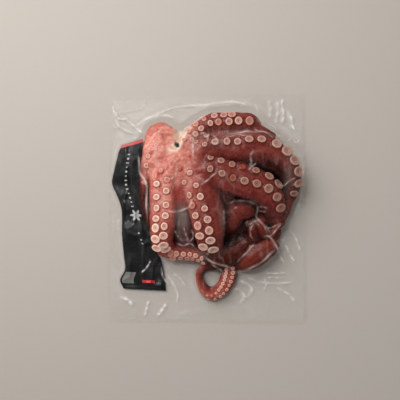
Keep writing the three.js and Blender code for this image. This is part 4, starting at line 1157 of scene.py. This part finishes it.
def build_flesh(settings):
    """All shapes merged into one skin, which gets its relief, its mouth and its fields of colour."""
    shapes = [tube(shape["route"]) for shape in {**ARMS, **FOLDS}.values()]
    shapes += [ellipsoid(*lobe) for lobe, _ in LOBES.values()]
    skin = merged_skin(joined("shapes", shapes), settings.voxel, settings.smoothing)
    points, normals = vertex_array(skin), vertex_array(skin, "normal")
    fields = skin_fields(points)
    streaks = STREAK_HEIGHT * fields["streak"] * (1 - (1 - STREAK_ON_SUCKERED) * fields["oral"])
    relief = layered(points, LUMPS) + streaks
    points += normals * relief[:, None] * (points[:, 2:] > 2 * FLESH_FLOOR)
    fields.update(mouth_shape(points, normals))
    fields["halo"] = near_suckers(points)
    # Painted shade darkens skin deep in the gaps between the arms, less where it faces down.
    facing = smooth_step((normals[:, 2] - HOLLOW_FACING) / HOLLOW_FACING_SPAN)
    fields["hollow"] = shade_in_gaps(points) * facing
    points[:, 2] = np.maximum(points[:, 2], FLESH_FLOOR)
    skin.vertices.foreach_set("co", (points * MM).astype(np.float32).ravel())
    skin.polygons.foreach_set("use_smooth", np.ones(len(skin.polygons), bool))
    skin.update()
    paint(skin, **fields)
    piece = show(skin, flesh_material(settings), "root")
    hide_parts("octopus")


# ---- suckers -------------------------------------------------------------------------------------

def at_stations(values, distance, stations):
    """Each column of the values, read at the stations along the distance."""
    return np.stack([np.interp(stations, distance, line) for line in values.T], axis=1)


def hidden_suckers(place, arm):
    """Which places of an arm lie inside another arm, a fold or a lobe that isn't the crown's core."""
    hidden = np.zeros(len(place), bool)
    for other, sample in shape_samples().items():
        if other not in (arm, "crown") and not other.startswith("core"):
            hidden |= nearest_on(place, sample)[0] < SUCKER_HIDDEN
    return hidden


def sucker_rows():
    """Places, facing directions, directions of travel, radii, dusk and redness of all suckers.

    They stand in two rows, at the spread angle on both sides of the arm's suckered middle, on its
    section's surface.
    """
    random = np.random.default_rng(SUCKER_SEED)
    rows = []
    for arm, shape in ARMS.items():
        points, distance = carried(shape["route"], TUBE_STEP)
        suckers = [(way, red, station)
                   for way, red, stations in shape["rows"] for station in stations]
        way, faint, stations = np.array(suckers, float).reshape(-1, 3).T
        at = at_stations(points, distance, stations)
        ahead, side, up = (at_stations(axis, distance, stations) for axis in frames_along(points))
        share = np.interp(stations, distance, smooth_step(distance / distance[-1]))
        angle = np.radians(at[:, ROLL] + way * shape["spread"])[:, None]
        width, height = at[:, WIDTH, None], at[:, HEIGHT, None]
        place = at[:, :3] + side * (np.sin(angle) * width) + up * (np.cos(angle) * height)
        face = side * np.sin(angle) / width + up * np.cos(angle) / height
        first, last = shape["dusk"]
        dusk = first + (last - first) * share
        kept = (at[:, SUCKER] > SMALLEST_SUCKER) & ~hidden_suckers(place, arm)
        rows.append([values[kept] for values in (place, face, ahead, at[:, SUCKER] / 2, dusk, faint)])
    place, face, ahead, radius, dusk, faint = (np.concatenate(parts) for parts in zip(*rows))
    count = len(radius)
    radius = radius * (1 + SUCKER_UNEVEN * random.uniform(-1, 1, count))
    place = place + ahead * SUCKER_SHIFT * random.uniform(-1, 1, (count, 1))
    face /= np.linalg.norm(face, axis=1, keepdims=True)
    face += np.array([0, 0, SUCKER_LEAN])
    face /= np.linalg.norm(face, axis=1, keepdims=True)
    return pressed(place), face, ahead, radius, dusk, faint


def settled(place, face, radius):
    """Suckers moved along their facing direction until they sit on the skin around them."""
    skin = vertex_array(bpy.data.objects["octopus_flesh"].data)
    for index in range(len(radius)):
        ahead = skin - place[index]
        under = np.einsum("ij,ij->i", ahead, ahead) < radius[index] ** 2
        lift = np.quantile(ahead[under] @ face[index], SEAT_SHARE) if under.any() else 0.0
        place[index] += face[index] * np.clip(lift, *SEAT_LIFT)
    return place


def cups(profile, sides, place, face, ahead, radius, stretch):
    """Cups as lathe shapes: at each profile point a ring of radius r * share, r * height along the
    facing direction, for all suckers at once. One face closes the first ring, and one the last.

    Returns points, quads, lids, feet, each point's share of the radius, how far it is on the cup's
    flank, and the number of points in a cup.
    """
    along = ahead - face * np.sum(ahead * face, axis=1, keepdims=True)
    along /= np.linalg.norm(along, axis=1, keepdims=True)
    beside = np.cross(face, along)
    angle = np.arange(sides) / sides * 2 * math.pi
    share, height = np.array(profile).T
    a = share[:, None] * np.cos(angle)
    b = share[:, None] * np.sin(angle)
    radius, stretch = radius[:, None, None, None], stretch[:, None, None, None]
    points = (place[:, None, None] + along[:, None, None] * a[..., None] * (radius * (1 + stretch))
              + beside[:, None, None] * b[..., None] * (radius * (1 - stretch))
              + face[:, None, None] * height[:, None, None] * radius)
    size = len(profile) * sides
    base = (np.arange(len(place)) * size)[:, None, None]
    quads = (grid_faces(len(profile), sides, closed=True)[None] + base).reshape(-1, 4)
    lids = (np.arange(sides)[None] + (len(profile) - 1) * sides)[None] + base
    feet = np.arange(sides)[None, None, ::-1] + base
    outer = np.arange(len(profile)) <= len(profile) / 2
    flank = outer * (1 - smooth_step((height - FLANK_BELOW) / FLANK_FADE))
    across, flank = (np.tile(np.repeat(values, sides), len(place)) for values in (share, flank))
    return (points.reshape(-1, 3), quads, lids.reshape(-1, sides), feet.reshape(-1, sides),
            across, flank, size)


def build_suckers(settings):
    """All cups as one mesh: fine ones for the large suckers and plain ones for the small."""
    random = np.random.default_rng(SUCKER_SEED + 1)
    place, face, ahead, radius, dusk, faint = sucker_rows()
    place = settled(place, face, radius)
    stretch = SUCKER_OVAL * random.uniform(-1, 1, len(radius))
    stretch -= SUCKER_FLATTENED * np.abs(ahead[:, 2])
    blush = (random.uniform(0, 1, len(radius)) < BLUSHING) * BLUSH_FULL * (radius < BLUSH_WIDEST)
    blush += BLUSH_ANY * random.uniform(0, 1, len(radius)) + faint
    blush += SMALL_BLUSH * np.clip((SMALL_UP_TO - radius) / BROAD_FADE, 0, 1)
    broad = smooth_step((radius - BROAD_FROM) / BROAD_FADE)
    fine = radius * 2 > FINE_FROM
    points, quads, ends, fields, base = [], [], [], [], 0
    for which, profile, sides in ((fine, CUP_FINE, FINE_SIDES), (~fine, CUP_PLAIN, PLAIN_SIDES)):
        kind = (values[which] for values in (place, face, ahead, radius, stretch))
        cup_points, cup_quads, lids, feet, across, flank, size = cups(profile, sides, *kind)
        points.append(cup_points)
        quads.append(cup_quads + base)
        ends += [lids + base, feet + base]
        spread = (np.repeat(values[which], size) for values in (dusk, blush, broad))
        fields.append(np.stack([across, flank, *spread]))
        base += len(cup_points)
    mesh = new_mesh("octopus_suckers", np.concatenate(points), np.concatenate(quads), *ends)
    across, flank, dark, red, wide = np.concatenate(fields, axis=1)
    paint(mesh, across=across, flank=flank, dusk=dark, blush=red, broad=wide)
    show(mesh, sucker_material(settings), "root")


# ---- the label -----------------------------------------------------------------------------------

def label_point(across, down):
    """Points of the label's top, at shares of its width and length. Its edges are smooth curves
    through the rows. Its height is a base plus plain and ridged noise that fades at the edges."""
    rows, _ = carried([[middle, 0, 0, left, right] for middle, left, right in LABEL_ROWS], LABEL_STEP)
    place = np.clip(down, 0, 1) * (len(rows) - 1)
    index = np.arange(len(rows))
    middle, left, right = (np.interp(place, index, rows[:, i]) for i in (0, 3, 4))
    x = left + (right - left) * across
    y = middle + LABEL_TILT * (across - 0.5) * (1 - smooth_step(down * LABEL_TILT_FADE))
    y -= LABEL_DROOP * (across - 0.5) * down
    flat = np.stack([x, y, 0 * x], axis=-1)
    from_side, from_end = np.minimum(across, 1 - across), np.minimum(down, 1 - down)
    edge = smooth_step(np.minimum(from_side * LABEL_EDGES[0], from_end * LABEL_EDGES[1]))
    folds = layered(flat, LABEL_CREASES) + layered(flat * LABEL_FOLD_STRETCH, LABEL_FOLDS, ridged)
    height = LABEL_HEIGHT + edge * np.maximum(folds, LABEL_LOWEST_FOLD)
    return np.stack([x, y, height], axis=-1).reshape(-1, 3)


def slab(name, top, rows, columns, drop):
    """A closed sheet: the grid of its top, the same grid a little lower, and a wall round them."""
    faces = grid_faces(rows, columns)
    edge = grid_rim(rows, columns)
    after = np.roll(edge, -1)
    count = rows * columns
    wall = np.stack([after, edge, edge + count, after + count], axis=1)
    if facing_down(top, faces):
        faces, wall = faces[:, ::-1], wall[:, ::-1]
    points = np.concatenate([top, top - (0, 0, drop)])
    return new_mesh(name, points, faces, faces[:, ::-1] + count, wall)


def facing_down(points, faces):
    """Whether the faces' corners run clockwise from above, by the sum of their cross products."""
    a, b, c = (points[faces[:, i], :2] for i in range(3))
    return np.sum((b - a)[:, 0] * (c - b)[:, 1] - (b - a)[:, 1] * (c - b)[:, 0]) < 0


def build_label(settings):
    """The label as a thin closed sheet."""
    rows = round((LABEL_ROWS[0][0] - LABEL_ROWS[-1][0]) / LABEL_STEP)
    down, across = np.meshgrid(np.linspace(0, 1, rows), np.linspace(0, 1, LABEL_COLUMNS),
                               indexing="ij")
    mesh = slab("label_film", label_point(across, down), rows, LABEL_COLUMNS, LABEL_THICK)
    piece = show(mesh, label_material(settings), "root")
    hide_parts("label")


def label_size(down):
    """Width and length of the label round one place, to turn millimetres of print into shares."""
    left, right = label_point(np.array([0.0, 1.0]), np.array([down, down]))
    return abs(right[0] - left[0]), LABEL_ROWS[0][0] - LABEL_ROWS[-1][0]


def laid_on_label(across, down, faces):
    """Print a little over the label, at shares of its width and length, with its faces turned up."""
    points = label_point(across, down)
    return points + (0, 0, PRINT_RAISE), faces[:, ::-1] if facing_down(points, faces) else faces


def bar_patch(across, down, width, length):
    """A rectangle of print."""
    wide, long = label_size(down)
    line = np.linspace(-0.5, 0.5, PRINT_FINENESS)
    v, u = np.meshgrid(line, line, indexing="ij")
    across, down = np.clip(across + u * width / wide, 0, 1), np.clip(down + v * length / long, 0, 1)
    return laid_on_label(across, down, grid_faces(PRINT_FINENESS, PRINT_FINENESS))


def round_patch(across, down, radius, points=DOT_POINTS, petals=0, waist=0.0):
    """A patch with the outline radius * (1 - waist + waist * cos(petals * angle)), as rings."""
    wide, long = label_size(down)
    angle = np.arange(points) / points * 2 * math.pi
    outline = radius * (1 - waist + waist * np.cos(petals * angle))
    reach = outline * np.linspace(1, PATCH_HOLE, PATCH_RINGS)[:, None]
    across, down = across + reach * np.cos(angle) / wide, down - reach * np.sin(angle) / long
    return laid_on_label(across, down, grid_faces(PATCH_RINGS, points, closed=True))


def print_patches():
    """All print as (ink, points, faces): fields, a column of bars and dots, an emblem, more dots."""
    for *field, ink in PRINT_FIELDS:
        yield ink, *bar_patch(*field)
    column = PRINT_COLUMN
    for index in range(column["count"]):
        down = column["first"] + (column["last"] - column["first"]) * index / (column["count"] - 1)
        if index % 3 == 1:
            yield "white", *round_patch(column["across"], down, column["dot"])
        else:
            width = column["widths"][index % 2]
            yield "white", *bar_patch(column["across"], down, width, column["length"])
    yield "white", *round_patch(**PRINT_EMBLEM)
    for across, down in PRINT_DOTS:
        yield "white", *round_patch(across, down, PRINT_DOT)


def build_print(settings):
    """One mesh for each ink."""
    inks = {}
    for ink, points, faces in print_patches():
        inks.setdefault(ink, []).append((points, faces))
    for ink, patches in inks.items():
        bases = np.cumsum([0] + [len(points) for points, _ in patches[:-1]])
        mesh = new_mesh("print_" + ink, np.concatenate([points for points, _ in patches]),
                        np.concatenate([faces + base for (_, faces), base in zip(patches, bases)]))
        show(mesh, print_material("print_" + ink, getattr(settings, ink)), "root")


# ---- the film ------------------------------------------------------------------------------------

def shifted_best(field, axis, step, radius, way):
    """Along one axis, the highest of the parabolas value - d² / 2R round each value when way is 1,
    or the lowest of value + d² / 2R when it is -1."""
    best = field.copy()
    view, source = np.moveaxis(best, axis, 0), np.moveaxis(field, axis, 0)
    reach = int(math.sqrt(2 * radius * FILM_TALLEST) / step) + 1
    pick = np.maximum if way > 0 else np.minimum
    for hop in range(1, reach):
        drop = way * (hop * step) ** 2 / (2 * radius)
        view[hop:] = pick(view[hop:], source[:-hop] - drop)
        view[:-hop] = pick(view[:-hop], source[hop:] - drop)
    return best


def rolled_over(field, step, radius):
    """The field closed by a paraboloid: hollows tighter than the radius are bridged by arcs."""
    for axis in (0, 1):
        field = shifted_best(field, axis, step, radius, 1)
    for axis in (0, 1):
        field = shifted_best(field, axis, step, radius, -1)
    return field


def spread_high(field):
    """The highest of each cell and its eight neighbours."""
    padded = np.pad(field, 1, mode="edge")
    rows, columns = field.shape
    return np.max([padded[i:i + rows, j:j + columns] for i, j in product(range(3), repeat=2)], axis=0)


def blurred(field, times):
    """Each value becomes a quarter, a half and a quarter of its neighbours and itself, both ways."""
    for _ in range(times):
        padded = np.pad(field, 1, mode="edge")
        field = (padded[:-2, 1:-1] + 2 * padded[1:-1, 1:-1] + padded[2:, 1:-1]) / 4
        padded = np.pad(field, 1, mode="edge")
        field = (padded[1:-1, :-2] + 2 * padded[1:-1, 1:-1] + padded[1:-1, 2:]) / 4
    return field


def heights_under(x, y, names):
    """The height of the named pieces under each point of the film's grid."""
    field = np.zeros((len(y), len(x)))
    for name in names:
        mesh = bpy.data.objects[name].data
        middles = np.empty(len(mesh.polygons) * 3, np.float32)
        mesh.polygons.foreach_get("center", middles)
        points = np.concatenate([vertex_array(mesh), middles.reshape(-1, 3) / MM])
        i = np.clip(np.rint((points[:, 0] - x[0]) / (x[1] - x[0])).astype(int), 0, len(x) - 1)
        j = np.clip(np.rint((points[:, 1] - y[0]) / (y[1] - y[0])).astype(int), 0, len(y) - 1)
        np.maximum.at(field, (j, i), points[:, 2])
    return spread_high(field)


def distance_to(line, x, y):
    """Distance of points to a polyline, and where along it the nearest place is, from 0 to 1."""
    line = np.asarray(line, float)
    close, share = np.full(x.shape, np.inf), np.zeros(x.shape)
    for index, (a, b) in enumerate(zip(line[:-1], line[1:])):
        along = b - a
        t = np.clip(((x - a[0]) * along[0] + (y - a[1]) * along[1]) / (along @ along), 0, 1)
        away = np.hypot(x - a[0] - t * along[0], y - a[1] - t * along[1])
        share = np.where(away < close, (index + t) / (len(line) - 1), share)
        close = np.minimum(away, close)
    return close, share


def crease_fields(x, y):
    """Height and haze of the creases, the haze partly a painted highlight: exp(-(d / width)²) round
    each line, times a strength that fades at its ends and swells and sinks along it."""
    height, haze = np.zeros(x.shape), np.zeros(x.shape)
    for rise, width, white, line in CREASES.values():
        smooth, _ = carried(np.pad(np.array(line, float), ((0, 0), (0, 1))), CREASE_STEP)
        (west, south, _), (east, north, _) = smooth.min(axis=0), smooth.max(axis=0)
        near = ((x > west - CREASE_REACH) & (x < east + CREASE_REACH)
                & (y > south - CREASE_REACH) & (y < north + CREASE_REACH))
        away, place = np.full(x.shape, np.inf), np.zeros(x.shape)
        away[near], place[near] = distance_to(smooth[:, :2], x[near], y[near])
        strength = smooth_step(np.minimum(place, 1 - place) * CREASE_FADE + CREASE_END)
        beat = np.sin(place * CREASE_BEATS + rise * CREASE_PHASE)
        strength *= 1 - CREASE_UNEVEN + CREASE_UNEVEN * beat
        height += rise * strength * np.exp(-((away / width) ** 2))
        haze = np.maximum(haze, white * strength * np.exp(-((away / (width * CREASE_WHITE)) ** 2)))
    return height, haze


def film_haze_and_sheen(grid, gap, food, inside, loose, crumples, wrinkles):
    """Whitish look of the film apart from its creases, partly its own haze and partly painted
    highlights
    and reflections: threads, wrinkles and bridged gaps over the octopus, mist and crumples in the
    margin, and a skirt where the film comes down between them."""
    patchy = smooth_step(noise(grid, *PATCHY_NOISE) * PATCHY_GAIN + PATCHY_SHIFT)
    threads = ridged(noise(grid * THREAD_STRETCH, *THREAD_NOISE)) ** 2
    seams = ridged(noise(grid, *SEAM_NOISE)) * smooth_step((gap - BRIDGE_FROM) / BRIDGE_SPAN) * food
    over = THREAD_HAZE_AND_SHEEN * threads * patchy + WRINKLE_HAZE_AND_SHEEN * wrinkles * patchy + SEAM_HAZE_AND_SHEEN * seams
    mist = smooth_step(noise(grid, *MIST_NOISE) + MIST_SHIFT) * (1 - food) * inside
    skirt = smooth_step((gap - SKIRT_FROM) / SKIRT_SPAN)
    skirt *= (1 - smooth_step((gap - SKIRT_TO) / SKIRT_TO_SPAN)) * (1 - food)
    skirt *= SKIRT_PLAIN + (1 - SKIRT_PLAIN) * ridged(noise(grid, *SKIRT_NOISE))
    margin = CRUMPLE_HAZE_AND_SHEEN * crumples * loose + SKIRT_HAZE_AND_SHEEN * skirt + MIST_HAZE_AND_SHEEN * mist
    return over * food + margin


def film_sheet(x, y):
    """The film's height, its haze with painted highlights, and how far it lies over the octopus, on a
    grid.

    Its height is what lies under it with the hollows rolled over, plus waves and crumples in the
    margin, creases, and wrinkles over the octopus. It stays clear of what lies under it.
    """
    grid_x, grid_y = np.meshgrid(x, y)
    grid = np.stack([grid_x, grid_y, np.zeros(grid_x.shape)], axis=-1)
    over_label = heights_under(x, y, FILM_OVER_LABEL)
    under = np.maximum(heights_under(x, y, FILM_OVER_FOOD), over_label)
    printed = blurred((over_label > 0).astype(float), 2)
    tight = blurred(rolled_over(np.maximum(under, FILM_LOWEST), x[1] - x[0], FILM_ROLL), 2)
    food = smooth_step((tight - FOOD_FROM) / FOOD_SPAN)
    border = np.minimum(BAG_WIDTH / 2 - np.abs(grid_x), BAG_LENGTH / 2 - np.abs(grid_y))
    inside = smooth_step((border - SEAL_FROM) / BAG_SEAL)
    loose = (1 - food) * (1 - LABEL_TIGHTNESS * printed) * inside
    waves = np.maximum(layered(grid, MARGIN_WAVES), MARGIN_LOWEST_WAVE)
    crumples = layered(grid, MARGIN_CRUMPLES, ridged)
    wrinkles = layered(grid * FOOD_STRETCH, FOOD_CRUMPLES, ridged)
    rise, haze = crease_fields(grid_x, grid_y)
    height = tight + loose * (MARGIN_LIFT + waves + crumples) + rise * inside
    height = np.maximum(height + food * wrinkles * FOOD_WRINKLE, under + FILM_CLEAR)
    cloud_and_sheen = film_haze_and_sheen(grid, height - under, food, inside, loose, crumples, wrinkles)
    for x_at, y_at, wide, long, white in HAZE_AND_SHEEN_PATCHES.values():
        haze = haze + white * np.exp(-(((grid_x - x_at) / wide) ** 2) - ((grid_y - y_at) / long) ** 2)
    in_margin, over_food = CREASE_HAZE_AND_SHEEN
    haze = haze * (in_margin + (over_food - in_margin) * food)
    haze = np.clip(haze + cloud_and_sheen * (1 - LABEL_HAZE_AND_SHEEN_LOSS * printed), 0, 1)
    seal = smooth_step(border / BAG_SEAL + FILM_EDGE_SHARE)
    return FILM_EDGE + (blurred(height, FILM_SMOOTHING) - FILM_EDGE) * seal, haze, food


def build_film(settings):
    """The bag: its top is the film's height field, its under side lies flat, closed by a low wall."""
    x, y = (np.linspace(-size / 2, size / 2, round(size / FILM_STEP) + 1)
            for size in (BAG_WIDTH, BAG_LENGTH))
    height, haze, warm = film_sheet(x, y)
    top = np.stack([*np.meshgrid(x, y), height], axis=-1).reshape(-1, 3)
    edge = grid_rim(*height.shape)
    foot = np.arange(len(edge)) + len(top)
    wall = np.stack([edge, foot, np.roll(foot, -1), np.roll(edge, -1)], axis=1)
    points = np.concatenate([top, top[edge] * (1, 1, 0)])
    mesh = new_mesh("vacuum_film", points, grid_faces(*height.shape), wall, foot[None, ::-1])
    below = np.arange(len(points)) >= len(top)
    nothing = np.zeros(len(edge))
    # The haze is partly the film's own and partly painted highlights and reflections.
    paint(mesh, haze=np.concatenate([haze.ravel(), nothing]), under=below,
          warm=np.concatenate([warm.ravel(), nothing]))
    piece = show(mesh, film_material(settings), "root")
    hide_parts("film_bag")


# ---- the stage -----------------------------------------------------------------------------------

def look_at(piece, place, target):
    """Places a camera or light so that its -Z axis points at the target and +Y stays up."""
    forward = (Vector(target) - Vector(place)).normalized()
    right = forward.cross(Vector((0, 1, 0))).normalized()
    up = right.cross(forward)
    turn = Matrix((right, up, -forward)).transposed()
    piece.matrix_world = Matrix.Translation(place) @ turn.to_4x4()


def placed(name, data, place, target):
    """A camera or light in the scene, looking at its target."""
    piece = bpy.data.objects.new(name, data)
    bpy.context.scene.collection.objects.link(piece)
    look_at(piece, place, target)
    return piece


def build_floor(settings):
    """A large square just under the film."""
    half = FLOOR_SIZE / 2 / MM
    corners = np.array([(-half, -half), (half, -half), (half, half), (-half, half)])
    mesh = new_mesh("floor", np.pad(corners, ((0, 0), (0, 1)), constant_values=-FLOOR_GAP),
                    np.arange(4)[None])
    mesh.materials.append(floor_material(settings))
    floor = bpy.data.objects.new("floor", mesh)
    bpy.context.scene.collection.objects.link(floor)


def build_camera():
    """The camera above the pack."""
    camera = bpy.data.cameras.new("camera")
    camera.lens = CAMERA_LENS
    camera.sensor_width = CAMERA_SENSOR
    bpy.context.scene.camera = placed("camera", camera, CAMERA_PLACE, CAMERA_TARGET)


def build_lights():
    """The window and the glint, as rectangles of light."""
    for name, (place, target, size, power, colour) in LIGHTS.items():
        lamp = bpy.data.lights.new(name, "AREA")
        lamp.shape = "RECTANGLE"
        lamp.size, lamp.size_y = size
        lamp.energy = power
        lamp.color = colour
        placed(name, lamp, place, target)


def build_world():
    """The studio: strength sides * (1 + lean) at low elevations, blended to dim straight above."""
    world = bpy.data.worlds.new("studio")
    world.use_nodes = True
    background = world.node_tree.nodes["Background"]
    background.inputs["Color"].default_value = (*WORLD_COLOUR, 1.0)
    s = Shader.of(world.node_tree)
    x, y, z = s.node("SeparateXYZ", {0: s.node("TexCoord").outputs["Generated"]}).outputs
    lean = s.math("ADD", s.times(x, WORLD_LEAN[0]), s.times(y, WORLD_LEAN[1]))
    sides = s.times(s.math("ADD", lean, 1.0), WORLD_SIDES)
    above = s.span(z, WORLD_DIM_FROM, WORLD_DIM_TO)
    sides = s.times(sides, s.math("SUBTRACT", 1.0, above))
    strength = s.math("ADD", sides, s.times(above, WORLD_ABOVE))
    world.node_tree.links.new(strength, background.inputs["Strength"])
    bpy.context.scene.world = world


def build_stage(settings):
    """Floor, camera, lights and world."""
    build_floor(settings)
    build_camera()
    build_lights()
    build_world()
    bpy.context.scene.view_settings.view_transform = "Standard"


# ---- operators and panel -------------------------------------------------------------------------

class OCTOPUS_OT_stage(bpy.types.Operator):
    """Make the floor, the lights, the world and the camera"""

    bl_idname = "octopus.stage"
    bl_label = "Stage"

    def execute(self, context):
        build_stage(context.scene.octopus_stage)
        return {"FINISHED"}


class OCTOPUS_OT_flesh(bpy.types.Operator):
    """Make the octopus's arms, body and mouth as one skin"""

    bl_idname = "octopus.flesh"
    bl_label = "Flesh"

    def execute(self, context):
        build_flesh(context.scene.octopus_flesh)
        return {"FINISHED"}


class OCTOPUS_OT_suckers(bpy.types.Operator):
    """Make the two rows of suckers on every arm"""

    bl_idname = "octopus.suckers"
    bl_label = "Suckers"

    def execute(self, context):
        build_suckers(context.scene.octopus_flesh)
        return {"FINISHED"}


class OCTOPUS_OT_label(bpy.types.Operator):
    """Make the crumpled black label and its print"""

    bl_idname = "octopus.label"
    bl_label = "Label"

    def execute(self, context):
        build_label(context.scene.octopus_film)
        build_print(context.scene.octopus_film)
        return {"FINISHED"}


class OCTOPUS_OT_film(bpy.types.Operator):
    """Make the vacuum film that lies over the octopus and the label"""

    bl_idname = "octopus.film"
    bl_label = "Film"

    def execute(self, context):
        build_film(context.scene.octopus_film)
        return {"FINISHED"}


class OCTOPUS_PT_panel(bpy.types.Panel):
    """Steps that build the pack, in order"""

    bl_idname = "OCTOPUS_PT_panel"
    bl_label = "Vacuum packed octopus"
    bl_space_type = "VIEW_3D"
    bl_region_type = "UI"
    bl_category = "Octopus"

    def draw(self, context):
        for step in STEPS:
            self.layout.operator(step.bl_idname)
        for name in SETTINGS:
            settings = getattr(context.scene, name)
            for field in settings.bl_rna.properties.keys():
                if field not in ("rna_type", "name"):
                    self.layout.prop(settings, field)


STEPS = (OCTOPUS_OT_stage, OCTOPUS_OT_flesh, OCTOPUS_OT_suckers, OCTOPUS_OT_label, OCTOPUS_OT_film)
SETTINGS = {
    "octopus_stage": OctopusStageSettings,
    "octopus_flesh": OctopusFleshSettings,
    "octopus_film": VacuumFilmSettings,
}
CLASSES = (*SETTINGS.values(), *STEPS, OCTOPUS_PT_panel)


def register():
    for made in CLASSES:
        bpy.utils.register_class(made)
    for name, settings in SETTINGS.items():
        setattr(bpy.types.Scene, name, PointerProperty(type=settings))


def unregister():
    for name in SETTINGS:
        delattr(bpy.types.Scene, name)
    for made in reversed(CLASSES):
        bpy.utils.unregister_class(made)


def main():
    register()
    bpy.ops.octopus.stage()
    bpy.ops.octopus.flesh()
    bpy.ops.octopus.suckers()
    bpy.ops.octopus.label()
    bpy.ops.octopus.film()


if __name__ == "__main__":
    main()
